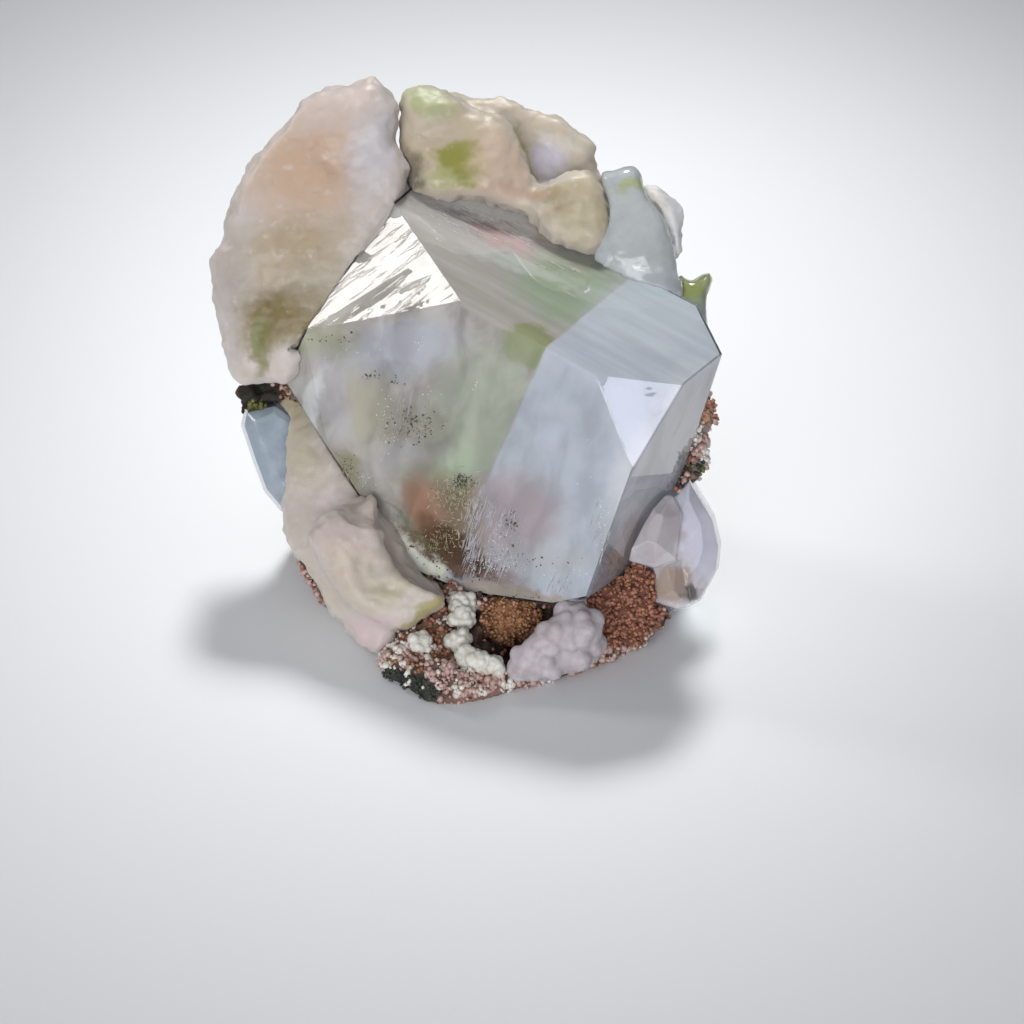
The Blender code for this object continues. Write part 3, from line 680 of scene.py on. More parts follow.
def clear_finish(skin, colours):
    """Clear crystal: plain glass with an absorption, faint streaks, pits and one facet's lines."""
    finish = Finish("Clear apophyllite", Base_Color=(*colours.clear_tint, 1.0), Transmission_Weight=1.0,
                    IOR=CRYSTAL_IOR, Roughness=0.03)
    tree = finish.tree
    place = finish.crystal_place()
    streaks = noise_fac(tree, stretched(tree, place, (1.6, 1.6, 0.12)), 2.0, 6.0)
    pits = noise_fac(tree, place, 4.0, 4.0)
    height = math_node(tree, "ADD", streaks, math_node(tree, "MULTIPLY", pits, 0.3))
    lines = math_node(tree, "MULTIPLY", facet_lines(finish, skin), FACET_LINE_HEIGHT)
    finish.bump(math_node(tree, "ADD", height, lines), 0.10, 0.01)
    finish.feed("Roughness", spread(tree, pits, 0.35, 0.8, 0.01, 0.06))
    finish.let_light_through()
    absorb = node(tree, "ShaderNodeVolumeAbsorption", {"Color": (*colours.clear_absorption, 1.0),
                                                       "Density": colours.clear_density})
    tree.links.new(absorb.outputs[0], finish.output.inputs["Volume"])
    return finish.material


# Zones inside the main crystal, a few of them painted light as marked: pixel, half sizes in pixels, turn,
# edge, colour, strength, and whether they stop at the growth plane
MILK_ZONES = (
    (330, 345, 46, 14, -10, 0.6, (0.37, 0.37, 0.25), 0.7, True),
    (400, 350, 60, 26, 10, 0.5, (0.44, 0.44, 0.50), 0.8, True),
    (527, 348, 26, 22, -25, 0.22, (0.25, 0.265, 0.13), 0.9, True),
    (480, 415, 44, 66, -25, 0.6, (0.38, 0.41, 0.33), 0.8, True),
    (425, 432, 34, 22, 10, 0.5, (0.24, 0.23, 0.19), 0.75, True),
    (366, 412, 26, 34, 0, 0.8, (0.40, 0.37, 0.28), 0.7, True),
    (330, 400, 18, 46, 12, 0.4, (0.45, 0.42, 0.44), 0.8, True),
    (392, 372, 16, 14, 0, 0.5, (0.28, 0.28, 0.30), 0.6, True),
    (346, 476, 14, 26, 15, 0.45, (0.27, 0.24, 0.14), 0.8, True),
    (402, 458, 26, 18, 20, 0.5, (0.40, 0.38, 0.39), 0.7, True),
    (425, 478, 30, 14, 0, 0.5, (0.31, 0.29, 0.22), 0.7, True),
    (460, 466, 26, 14, 30, 0.5, (0.37, 0.43, 0.33), 0.8, True),
    (448, 522, 46, 40, -40, 0.5, (0.20, 0.135, 0.07), 0.95, False),
    (450, 553, 44, 16, -32, 0.4, (0.10, 0.045, 0.022), 0.97, False),
    (423, 506, 17, 26, 25, 0.6, (0.36, 0.20, 0.14), 0.85, False),
    (515, 515, 42, 42, -10, 0.5, (0.36, 0.29, 0.30), 0.8, False),
    (488, 572, 34, 12, -20, 0.5, (0.24, 0.16, 0.14), 0.8, False),
    (548, 562, 42, 12, 5, 0.4, (0.42, 0.42, 0.44), 0.8, False),
    (510, 594, 64, 8, -8, 0.4, (0.37, 0.30, 0.25), 0.85, False),
    # Pale green band, made lighter still as painted light where the lobes shade it
    (412, 560, 54, 15, -42, 0.35, (0.86, 0.86, 0.76), 0.95, False),
    (412, 531, 34, 2.6, -42, 0.8, (0.16, 0.17, 0.11), 0.7, False),
    (455, 545, 40, 12, -38, 0.5, (0.09, 0.05, 0.03), 0.9, False),
    # Painted highlight: the bright sliver of a narrow facet
    (306, 410, 9, 44, -20, 0.4, (0.60, 0.60, 0.60), 0.8, True),
    (575, 290, 62, 34, -20, 0.5, (0.26, 0.33, 0.23), 0.85, True),
    (470, 225, 70, 26, -15, 0.5, (0.42, 0.40, 0.40), 0.8, False),
    (502, 234, 36, 12, -24, 0.35, (0.50, 0.36, 0.35), 0.85, False),
    (548, 226, 26, 14, -20, 0.5, (0.56, 0.46, 0.40), 0.8, False),
    # Painted light: a light band that lifts the shade the top blade casts on the top face
    (490, 208, 76, 12, -19, 0.5, (0.86, 0.83, 0.80), 0.85, False),
    (520, 262, 70, 7, -22, 0.6, (0.46, 0.48, 0.46), 0.6, False),
    (650, 310, 60, 34, 10, 0.5, (0.47, 0.51, 0.55), 0.7, False),
    # Painted light: the right face made lighter to lift the shade it lies in
    (660, 460, 30, 80, -28, 0.5, (0.66, 0.63, 0.66), 0.7, False),
    (628, 550, 12, 34, -20, 0.5, (0.46, 0.37, 0.33), 0.8, False),
)

MILK_DEPTH = 0.30               # the milky body lies this far inside the faces, mm
ZONE_DEPTH = 1.0                # how deep a zone is taken to lie where its pixel shows it, mm
MILK_SHADE = (0.70, 0.90)       # how dark and how light the wisps make it
TOP_HEIGHTS = (-0.9, -0.5)      # between these heights from the crystal's corner the streaks set in, mm


def beyond_growth_plane(finish, skin):
    """How far, in mm, each point lies on the milky side of the growth plane."""
    first, second, third = [skin.seen_at(*pixel)[0] for pixel in GROWTH_PLANE_PIXELS]
    normal = (second - first).cross(third - first).normalized()
    if normal.x < 0:
        normal = -normal
    offset = vector_math(finish.tree, "SUBTRACT", finish.place, tuple(first))
    return vector_math(finish.tree, "DOT_PRODUCT", offset, tuple(normal), output="Value")


def milk_wisps(tree, place):
    """Wisps along the crystal's length, and straight streaks along its top face."""
    along = stretched(tree, place, (1.0, 1.0, 0.5))
    wisps = noise_fac(tree, along, 0.32, 5.0, Roughness=0.5, Distortion=0.5)
    wisps = spread(tree, wisps, 0.25, 0.75)
    streaks = noise_fac(tree, stretched(tree, place, (0.12, 1.1, 1.0)), 0.6, 4.0)
    streaks = spread(tree, streaks, 0.2, 0.8, 0.30, 0.75)
    height = node(tree, "ShaderNodeSeparateXYZ", {0: place}).outputs[2]
    below = math_node(tree, "MULTIPLY", wisps, spread(tree, height, *TOP_HEIGHTS, 1.0, 0.0))
    above = math_node(tree, "MULTIPLY", streaks, spread(tree, height, *TOP_HEIGHTS))
    return math_node(tree, "ADD", below, above)


def milk_finish(skin, colours):
    """The milky side, the clearer green side and the zones of colour inside the crystal, a few of them
    painted light.
    """
    finish = Finish("Milk", Roughness=0.9, Specular_IOR_Level=0.0)
    tree = finish.tree
    place = finish.crystal_place()
    wisps = milk_wisps(tree, place)
    clouds, _ = finish.clouds(5.0, 2.0, place)
    side = beyond_growth_plane(finish, skin)
    uneven_side = math_node(tree, "ADD", side, math_node(tree, "MULTIPLY", clouds, 0.3))
    milky = spread(tree, uneven_side, 0.0, 0.45)
    milk_colour = blend_colours(tree, clouds, colours.milk_shade, colours.milk)
    clear_colour = blend_colours(tree, wisps, colours.left_side_shade, colours.left_side)
    colour = blend_colours(tree, milky, clear_colour, milk_colour)
    left_only = spread(tree, side, -0.15, 0.15, 1.0, 0.0)
    for px, py, half_width, half_height, turn, edge, zone_colour, strength, stops in MILK_ZONES:
        spot = (skin.inside_at(px, py, ZONE_DEPTH) or photo_point(px, py)) - VIEW_CENTRE
        centre = (spot.dot(RIGHT), spot.dot(UP), 0.0)
        mask = finish.patch(centre, (half_width, half_height), edge, turn)
        if stops:
            mask = math_node(tree, "MULTIPLY", mask, left_only)
        colour = finish.tint(colour, mask, zone_colour, strength)
    shade = spread(tree, wisps, 0.0, 1.0, *MILK_SHADE)
    finish.feed("Base Color", scaled_vector(tree, colour, shade))
    return finish.material


def simple_finish(name, first, second, size, roughness=0.5, **constants):
    """A finish whose colour drifts between two, with a fine relief."""
    finish = Finish(name, Roughness=roughness, **constants)
    clouds, height = finish.clouds(size, 3.0)
    finish.feed("Base Color", blend_colours(finish.tree, clouds, first, second))
    finish.bump(height, 0.5, 0.05)
    return finish.material


# Inclusions, and pale grains for glints, seen in the main crystal: pixel, half width and half height in
# pixels, count
DARK_SPECKS = (
    (372, 374, 10, 6, 16), (392, 382, 14, 8, 10), (510, 522, 9, 10, 46), (345, 478, 10, 20, 26),
    (412, 424, 26, 18, 80), (462, 481, 9, 7, 90), (450, 556, 30, 14, 90), (478, 570, 26, 10, 80),
    (330, 340, 26, 6, 16), (545, 562, 30, 8, 14), (520, 598, 40, 4, 20), (500, 555, 20, 14, 30),
)
MOSS_SPECKS = (
    (462, 483, 12, 10, 70), (452, 498, 14, 10, 80), (428, 545, 24, 14, 60), (412, 425, 26, 18, 40),
    (346, 476, 12, 22, 50), (410, 532, 26, 6, 50), (425, 577, 36, 2, 60),
)
# Pale grains that stand in for glints: painted highlights inside the crystal
WHITE_GLINTS = (
    (385, 420, 10, 34, 40), (475, 385, 5, 5, 4), (430, 395, 8, 8, 6), (366, 482, 10, 10, 26),
    (420, 345, 6, 10, 12), (492, 566, 30, 12, 110), (350, 350, 34, 12, 16), (575, 573, 30, 10, 24),
    (500, 545, 14, 20, 40), (480, 225, 50, 22, 40), (590, 470, 20, 50, 8), (604, 520, 8, 26, 26),
    (652, 548, 20, 16, 40), (388, 440, 12, 6, 18), (395, 560, 8, 10, 10),
)
PALE_THREADS = (
    (452, 496, 22, 18, 170), (470, 505, 14, 28, 120), (445, 540, 26, 16, 130), (415, 425, 28, 22, 80),
    (346, 478, 12, 20, 30),
)
FIBRES = (
    (472, 548, 10, 28, 110), (500, 522, 18, 28, 90), (480, 505, 10, 22, 60), (500, 560, 24, 14, 120),
    (402, 405, 10, 30, 16), (560, 585, 16, 8, 20), (600, 545, 8, 26, 20), (630, 530, 10, 26, 20),
)
TOP_STREAKS = (
    (500, 232, 54, 18, 40), (460, 212, 34, 10, 20), (560, 268, 40, 8, 14),
)

INCLUSION_DEPTHS = (0.06, 0.24)         # between the faces and the milky body, mm
FIBRE_LEAN = 0.05               # how unevenly the fibres lie, radians


def scatter_inside(skin, areas, sizes, draw, stretch=None):
    """Small closed grains inside the crystal, each at the place that a pixel shows."""
    corners, faces = [], []
    shape = pyramid_shape()
    crystal_turn = CRYSTAL_TURN.to_matrix()
    for px, py, half_width, half_height, count in areas:
        for _ in range(count):
            spot = skin.inside_at(draw.gauss(px, half_width / 2), draw.gauss(py, half_height / 2),
                                  draw.uniform(*INCLUSION_DEPTHS))
            size = draw.uniform(*sizes)
            if spot is None:
                continue
            if stretch is None:
                radii = [size * draw.uniform(0.5, 1.2) for _ in range(3)]
                turn = random_turn(draw)
            else:
                lean = Euler([draw.gauss(0, FIBRE_LEAN) for _ in range(3)]).to_matrix()
                *lengths, at_random = stretch
                turn = random_turn(draw) if at_random else crystal_turn @ lean
                radii = [size * (length * draw.uniform(0.35, 1.3)) if length > 1 else size
                         for length in lengths]
            add_grain(corners, faces, shape, spot, radii, turn, draw)
    return corners, faces


# Name, areas, sizes in mm, stretch along the crystal's axes and whether it is turned at random,
# two colours, opacity
INCLUSIONS = (
    ("dark_specks", DARK_SPECKS, (0.05, 0.15), None, (0.02, 0.02, 0.012), (0.09, 0.08, 0.05), 0.9),
    ("moss_specks", MOSS_SPECKS, (0.05, 0.15), None, (0.08, 0.08, 0.02), (0.28, 0.25, 0.10), 0.8),
    ("white_glints", WHITE_GLINTS, (0.035, 0.09), None, (0.70, 0.70, 0.70), (0.92, 0.92, 0.92), 0.9),
    ("pale_threads", PALE_THREADS, (0.03, 0.05), (9, 1, 1, True),
     (0.45, 0.40, 0.22), (0.68, 0.64, 0.50), 0.75),
    ("pale_fibres", FIBRES, (0.035, 0.07), (1, 1, 16, False),
     (0.50, 0.46, 0.50), (0.70, 0.68, 0.72), 0.55),
    ("top_streaks", TOP_STREAKS, (0.03, 0.07), (24, 2, 1, False),
     (0.40, 0.33, 0.33), (0.75, 0.72, 0.72), 0.4),
)
BLOB_PIXEL = (422, 504)
BLOB_DEPTH = 1.75               # of its middle, along the line of sight inside the crystal, mm
BLOB_RADII = Vector((1.25, 1.0, 1.5))   # mm
BLOB_COLOURS = ((0.30, 0.14, 0.095), (0.42, 0.23, 0.17))


def orange_blob(skin):
    """The small orange-pink lump low inside the crystal."""
    bm = bmesh.new()
    bmesh.ops.create_icosphere(bm, subdivisions=4, radius=1.0)
    centre = skin.inside_at(*BLOB_PIXEL, BLOB_DEPTH)
    for vert in bm.verts:
        bulge = 1 + 0.35 * noise.noise(vert.co * 1.8) + 0.12 * noise.noise(vert.co * 5.0)
        vert.co = centre + vert.co * BLOB_RADII * bulge
    obj = object_from_bmesh("orange_blob", bm)
    obj.data.shade_smooth()
    return obj


class CLUSTER_OT_main_crystal(bpy.types.Operator):
    """Make the large clear crystal with the milky and green zones inside it"""

    bl_idname = "cluster.main_crystal"
    bl_label = "Main Crystal"

    def execute(self, context):
        body, skin = crystal_body()
        colours = context.scene.cluster_colours
        settle(body, "clear_apophyllite", clear_finish(skin, colours), "apophyllite_main")
        planes = planes_of(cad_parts["apophyllite_main"])
        milk = object_from_bmesh("milky_body", convex_solid(planes, -MILK_DEPTH))
        settle(milk, "clear_apophyllite", milk_finish(skin, colours))
        draw = random.Random(SEED)
        for name, areas, sizes, stretch, first, second, opacity in INCLUSIONS:
            grains = object_from_lists(name, *scatter_inside(skin, areas, sizes, draw, stretch))
            finish = simple_finish(title(name), first, second, 0.4, 0.4, Alpha=opacity)
            settle(grains, "clear_apophyllite", finish)
        settle(orange_blob(skin), "clear_apophyllite", simple_finish("Orange blob", *BLOB_COLOURS, 0.8))
        return {"FINISHED"}


# Small crystals

SMALL_BLUNT_EDGE = 0.12         # width of the small crystals' blunted edges, mm


def flat_faced_copy(node_name, name):
    """A copy of a flat-faced CAD node with its edges slightly blunted."""
    bm = bmesh.new()
    bm.from_mesh(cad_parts[node_name].data)
    bmesh.ops.scale(bm, vec=(1 / MM, 1 / MM, 1 / MM), verts=bm.verts)
    bmesh.ops.remove_doubles(bm, verts=bm.verts, dist=0.001)
    bmesh.ops.dissolve_limit(bm, angle_limit=math.radians(1), verts=bm.verts, edges=bm.edges)
    bmesh.ops.bevel(bm, geom=bm.edges[:], offset=SMALL_BLUNT_EDGE, segments=1, affect="EDGES", profile=0.5)
    bmesh.ops.triangulate(bm, faces=bm.faces)
    obj = object_from_bmesh(name, bm)
    obj.data.shade_smooth()
    obj.data.set_sharp_from_angle(angle=FLAT_FACE_ANGLE)
    return obj


def rounded_crystal_relief(spot, normal):
    """Low swells and lumps of a worn crystal."""
    return 0.15 * noise.noise(spot * 0.5) + 0.06 * noise.noise(spot * 1.7)


def cloudy_crystal_finish(name, colours, opacity, areas):
    """A crystal clouded inside: see-through, with a milky share."""
    finish = Finish(name, Transmission_Weight=1.0 - opacity, IOR=CRYSTAL_IOR, Roughness=0.16)
    clouds, height = finish.clouds(1.8, 3.0)
    colour = blend_colours(finish.tree, clouds, *colours)
    finish.feed("Base Color", finish.paint(colour, areas))
    finish.bump(height, 0.45, 0.08)
    finish.let_light_through()
    return finish.material


# Patches of colour on the small crystals, and the painted shade of a pit: pixel, half sizes in pixels, turn,
# edge, colour, strength
RIGHT_AREAS = (
    (700, 530, 16, 50, 12, 0.5, (0.64, 0.64, 0.76), 0.8),
    (660, 535, 20, 34, -15, 0.4, (0.50, 0.45, 0.47), 0.8),
    (672, 586, 20, 22, 0, 0.3, (0.42, 0.33, 0.27), 0.95),
    # Painted shade: the black of a small pit in the right crystal
    (690, 592, 7, 8, 0, 0.5, (0.03, 0.03, 0.03), 0.9),
    (668, 560, 20, 5, 10, 0.5, (0.62, 0.60, 0.62), 0.7),
)
LEFT_AREAS = (
    (252, 455, 10, 34, 10, 0.5, (0.30, 0.37, 0.44), 0.6),
)
BACK_AREAS = (
    (632, 185, 13, 9, 0, 0.5, (0.40, 0.44, 0.22), 0.9),
    (645, 235, 30, 40, 20, 0.6, (0.46, 0.48, 0.48), 0.6),
    (670, 285, 24, 10, -20, 0.5, (0.38, 0.40, 0.42), 0.6),
)
KNOB_AREAS = (
    (705, 320, 8, 18, 0, 0.5, (0.34, 0.36, 0.37), 0.9),
    (692, 285, 10, 10, 0, 0.5, (0.28, 0.31, 0.10), 0.8),
)


# CAD node, piece, slot, the two colours that it is clouded with, opacity, patches of colour
FLAT_CRYSTALS = (
    ("apophyllite_right", "right_crystals", "clear_apophyllite",
     ((0.48, 0.45, 0.49), (0.72, 0.70, 0.76)), 0.8, RIGHT_AREAS),
    ("apophyllite_left", "left_crystal", "grey_apophyllite",
     ((0.30, 0.36, 0.42), (0.42, 0.48, 0.54)), 0.75, LEFT_AREAS),
)
ROUNDED_CRYSTALS = (
    ("apophyllite_back", "back_crystal", "grey_apophyllite",
     ((0.40, 0.43, 0.44), (0.52, 0.54, 0.56)), 0.8, BACK_AREAS),
    ("apophyllite_knob", "green_knob", "green_apophyllite",
     ((0.24, 0.28, 0.13), (0.36, 0.39, 0.24)), 0.8, KNOB_AREAS),
)
ROUNDED_MESH = 0.3              # mesh size of the rounded ones, mm
ROUNDED_SMOOTHING = 6


class CLUSTER_OT_small_crystals(bpy.types.Operator):
    """Make the smaller crystals around the main one"""

    bl_idname = "cluster.small_crystals"
    bl_label = "Small Crystals"

    def execute(self, context):
        for node_name, name, slot, colours, opacity, areas in FLAT_CRYSTALS:
            obj = flat_faced_copy(node_name, name)
            settle(obj, slot, cloudy_crystal_finish(title(name), colours, opacity, areas), node_name)
        for node_name, name, slot, colours, opacity, areas in ROUNDED_CRYSTALS:
            obj = fine_copy(node_name, name, ROUNDED_MESH, ROUNDED_SMOOTHING)
            shape_surface(obj, rounded_crystal_relief)
            settle(obj, slot, cloudy_crystal_finish(title(name), colours, opacity, areas), node_name)
        return {"FINISHED"}


# Stilbite blades

FLECK_COLOUR = (0.66, 0.63, 0.61)       # of the pale flecks all over the blades
RIM_GLOW_SHARE = 0.7                 # how far the rim's colour covers what is seen edge-on, as a painted glow of light through the thin edges


def stilbite_finish(name, rim, core, areas):
    """Pearly stilbite: a pale rim tone, also laid on as painted glow where a blade is seen edge-on, a warmer
    core and patches of colour around given places.
    """
    finish = Finish(name, Roughness=0.46, Subsurface_Weight=0.4, Subsurface_Scale=0.0022, IOR=1.5,
                    Subsurface_Radius=(1.0, 0.8, 0.62), Coat_Weight=0.06, Coat_Roughness=0.35)
    clouds, height = finish.clouds(3.0, 2.2)
    tree = finish.tree
    outward = node(tree, "ShaderNodeNewGeometry").outputs["Normal"]
    facing = vector_math(tree, "DOT_PRODUCT", outward, tuple(NEAR), output="Value")
    edge_on = spread(tree, facing, 0.25, 0.8, 1.0, 0.0)
    colour = finish.paint(blend_colours(tree, clouds, core, rim), areas)
    # Painted glow: the pale rim colour laid over what is seen edge-on
    colour = blend_colours(tree, math_node(tree, "MULTIPLY", edge_on, RIM_GLOW_SHARE), colour, rim)
    flecks = spread(tree, noise_fac(tree, finish.place, 0.9, 5.0), 0.58, 0.80, 0.0, 0.4)
    finish.feed("Base Color", blend_colours(tree, flecks, colour, FLECK_COLOUR))
    finish.bump(height, 0.5, 0.15)
    return finish.material


def blade_relief(spot, normal):
    """Low swells, small dents and, along the edges, the notches of a stilbite blade."""
    swell = 0.22 * noise.noise(spot * 0.28)
    dents = 0.12 * noise.noise(spot * 0.75 + Vector((3.0, 1.0, 7.0)))
    lumps = 0.07 * noise.noise(spot * 1.6)
    grain = 0.025 * noise.noise(spot * 3.5)
    edge_on = max(0.0, 1.0 - abs(normal.dot(NEAR)) * 1.4)
    notches = 0.42 * edge_on * (noise.noise(spot * 0.95 + Vector((9.0, 2.0, 4.0))) - 0.1)
    return swell + dents + lumps + grain + notches - 0.03


GREEN = (0.25, 0.245, 0.045)    # of the bright green patch between the top blades
# Patches of colour on the blades: pixel, half sizes in pixels, turn, edge, colour, strength
SHEAF_AREAS = (
    (312, 168, 58, 46, 35, 0.6, (0.52, 0.36, 0.25), 0.9),
    (375, 150, 26, 46, -15, 0.6, (0.53, 0.50, 0.52), 0.85),
    (345, 95, 50, 26, 30, 0.6, (0.58, 0.48, 0.44), 0.7),
    (290, 250, 60, 30, 20, 0.6, (0.40, 0.31, 0.20), 0.85),
    (232, 265, 24, 40, 0, 0.6, (0.42, 0.38, 0.34), 0.7),
    (282, 318, 46, 30, 10, 0.5, (0.18, 0.13, 0.03), 0.93),
    (260, 345, 9, 34, 5, 0.5, (0.17, 0.165, 0.04), 0.9),
    (225, 330, 14, 40, 8, 0.5, (0.50, 0.46, 0.45), 0.7),
    (320, 285, 30, 30, 40, 0.5, (0.34, 0.29, 0.20), 0.7),
)
TOP_AREAS = (
    (450, 150, 60, 50, 0, 0.6, (0.48, 0.40, 0.28), 0.8),
    (425, 96, 30, 16, -10, 0.5, (0.36, 0.40, 0.20), 0.85),
    (463, 162, 27, 24, 0, 0.25, GREEN, 0.97),
    (440, 178, 14, 12, 0, 0.4, (0.40, 0.40, 0.20), 0.7),
    (500, 165, 26, 34, 20, 0.5, (0.56, 0.43, 0.34), 0.85),
    (552, 160, 16, 28, 10, 0.4, (0.54, 0.52, 0.60), 0.9),
    (530, 115, 30, 16, -30, 0.5, (0.54, 0.47, 0.38), 0.8),
    (527, 150, 3, 34, 18, 0.6, (0.34, 0.32, 0.14), 0.6),
    (578, 205, 30, 34, 20, 0.35, (0.46, 0.40, 0.27), 0.95),
    (548, 196, 20, 10, -30, 0.6, (0.30, 0.24, 0.12), 0.7),
    (520, 192, 36, 7, -8, 0.5, (0.50, 0.34, 0.26), 0.6),
    (410, 175, 14, 22, -10, 0.5, (0.13, 0.11, 0.06), 0.85),
)
RIGHT_BLADE_AREAS = (
    (655, 205, 12, 16, 0, 0.5, (0.56, 0.50, 0.42), 0.8),
    (676, 200, 6, 22, 10, 0.6, (0.40, 0.41, 0.43), 0.6),
)
LOWER_AREAS = (
    (285, 385, 18, 40, 10, 0.5, (0.38, 0.33, 0.19), 0.85),
    (300, 450, 18, 40, 20, 0.6, (0.42, 0.38, 0.28), 0.7),
    (345, 530, 36, 44, 25, 0.5, (0.55, 0.46, 0.43), 0.85),
    (350, 575, 40, 30, 0, 0.6, (0.46, 0.39, 0.31), 0.7),
    (375, 632, 30, 24, -20, 0.4, (0.52, 0.42, 0.42), 0.9),
    (425, 615, 44, 9, 38, 0.3, (0.35, 0.30, 0.14), 0.95),
    (436, 625, 36, 4, 38, 0.5, (0.22, 0.15, 0.07), 0.9),
    (390, 590, 26, 14, 30, 0.6, (0.44, 0.39, 0.26), 0.7),
    (330, 500, 14, 10, 20, 0.6, (0.62, 0.56, 0.55), 0.7),
)
BLADE_SMOOTHING = 12
# CAD node, piece, slot, colours of the rim and the core, patches of colour
BLADES = (
    ("stilbite_left", "left_sheaf", "peach_stilbite", (0.57, 0.52, 0.50), (0.47, 0.40, 0.34), SHEAF_AREAS),
    ("stilbite_top", "top_blades", "peach_stilbite", (0.56, 0.51, 0.45), (0.50, 0.43, 0.33), TOP_AREAS),
    ("stilbite_right", "right_blade", "cream_stilbite", (0.68, 0.68, 0.70), (0.64, 0.62, 0.58),
     RIGHT_BLADE_AREAS),
    ("stilbite_lower", "lower_blades", "cream_stilbite", (0.54, 0.49, 0.46), (0.48, 0.42, 0.36), LOWER_AREAS),
)


# Left edge of the main crystal's bright facet, in pixels from the top down
FACET_EDGE = ((414, 188), (392, 207), (303, 331), (290, 350))
MIRROR_SLOPE = 0.7              # how steeply the sheaf may rise beside the facet
FLANK_FADE = 6.0                # above the facet's top its flank comes back to full height over this, mm
FLANK_OVERHANG = 2.0            # it is sought this far over the facet, and lowered by at most this, mm
FLANK_ROUNDING = 0.8            # how gently the lowering sets in, mm


def tuck_behind_facet(obj, skin):
    """Draw the sheaf's flank back to the edge of the bright facet, low enough not to mirror in it."""
    point, normal = skin.seen_at(*LEFT_FACET_PIXEL)
    top, bottom = [on_facet(*pixel, point, normal) for pixel in FACET_EDGE[1:3]]
    down = (bottom - top).normalized()
    outward = normal.cross(bottom - top).normalized()
    if outward.dot(point - top) > 0:
        outward = -outward
    for vert in obj.data.vertices:
        offset = vert.co / MM - top
        beside = offset.dot(outward)
        rise = offset.dot(normal) - MIRROR_SLOPE * max(beside, 0.0)
        share = min(max(offset.dot(down) / FLANK_FADE + 1.0, 0.0), 1.0)
        if rise > 0 and beside > -FLANK_OVERHANG:
            lowered = min(rise ** 2 / (rise + FLANK_ROUNDING), FLANK_OVERHANG)
            vert.co -= normal * (share * lowered) * MM
        px, py = pixel_of(vert.co / MM)
        for start, end in zip(FACET_EDGE, FACET_EDGE[1:]):
            if start[1] < py <= end[1]:
                edge = start[0] + (end[0] - start[0]) * (py - start[1]) / (end[1] - start[1])
                vert.co.x -= max(px - edge, 0.0) / PIXELS_PER_MM * MM


LOBE_TIP_PIXEL = (372, 492)     # where the tip of the lower blades' lobe shows
LOBE_TIP_REACH = 4.0            # so far round its tip the lower lobe is rounded off, mm
LOBE_TIP_FALL = 2.8             # and the tip drawn down, mm


def blunt_lobe(obj):
    """Round off the tip of the lower lobe."""
    seen = Skin(obj).seen_at(*LOBE_TIP_PIXEL)
    if seen is None:
        raise ValueError("The lower blades have no lobe where the photograph shows its tip")
    tip, _ = seen
    for vert in obj.data.vertices:
        distance = (vert.co / MM - tip).length
        if distance < LOBE_TIP_REACH:
            vert.co -= UP * (LOBE_TIP_FALL * (1 - distance / LOBE_TIP_REACH)) * MM


class CLUSTER_OT_blades(bpy.types.Operator):
    """Make the peach and cream stilbite blades"""

    bl_idname = "cluster.blades"
    bl_label = "Stilbite Blades"

    def execute(self, context):
        crystal = Skin(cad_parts["apophyllite_main"])
        for node_name, name, slot, rim, core, patches in BLADES:
            obj = fine_copy(node_name, name, context.scene.cluster_sizes.blade_mesh / MM, BLADE_SMOOTHING)
            if node_name == "stilbite_left":
                tuck_behind_facet(obj, crystal)
            if node_name == "stilbite_lower":
                blunt_lobe(obj)
            shape_surface(obj, blade_relief)
            meet(obj, crystal)
            settle(obj, slot, stilbite_finish(title(name), rim, core, patches), node_name)
        return {"FINISHED"}


# White masses

PINKISH = ((0.37, 0.32, 0.33), (0.52, 0.48, 0.51))
CREAMY = ((0.50, 0.48, 0.40), (0.74, 0.73, 0.69))


def white_finish(name, first, second):
    """Soft white, its colour drifting between two."""
    finish = Finish(name, Roughness=0.5, Subsurface_Weight=0.4, Subsurface_Scale=0.0012,
                    Subsurface_Radius=(1.0, 0.9, 0.85))
    clouds, height = finish.clouds(1.2, 2.0)
    finish.feed("Base Color", blend_colours(finish.tree, clouds, first, second))
    finish.bump(height, 0.4, 0.08)
    return finish.material


# Balls that grow over a piece, in mm: radii, spacing, how far they are sunk as a share of the radius,
# mesh size of the skin over them and how often it is smoothed
MASS_BALLS = {"radii": (0.7, 1.4), "spacing": 1.7, "sunk": 0.5, "voxel": 0.16, "smoothing": 3}
CLUSTER_BALLS = {"radii": (0.36, 0.52), "spacing": 0.60, "sunk": 0.35, "voxel": 0.09, "smoothing": 1}
BALL_BASE_MESH = 0.3            # mesh size of what they grow on, mm


def knobbly_copy(node_name, name, draw, radii, spacing, sunk, voxel, smoothing):
    """A copy of a CAD node's solid grown over with small balls, in one skin."""
    base = fine_copy(node_name, name, BALL_BASE_MESH)
    bm = bmesh.new()
    bm.from_mesh(base.data)
    bmesh.ops.scale(bm, vec=(1 / MM, 1 / MM, 1 / MM), verts=bm.verts)
    bm.normal_update()
    for face in bm.faces[:]:
        if draw.random() < face.calc_area() / spacing ** 2:
            radius = draw.uniform(*radii)
            place = Matrix.Translation(face.calc_center_median() - face.normal * radius * sunk)
            bmesh.ops.create_icosphere(bm, subdivisions=2, radius=radius, matrix=place)
    bpy.data.objects.remove(base)
    obj = object_from_bmesh(name, bm)
    fuse(obj, voxel, smoothing)
    shape_surface(obj, lambda spot, normal: 0.02 * noise.noise(spot * 4.0))
    return obj


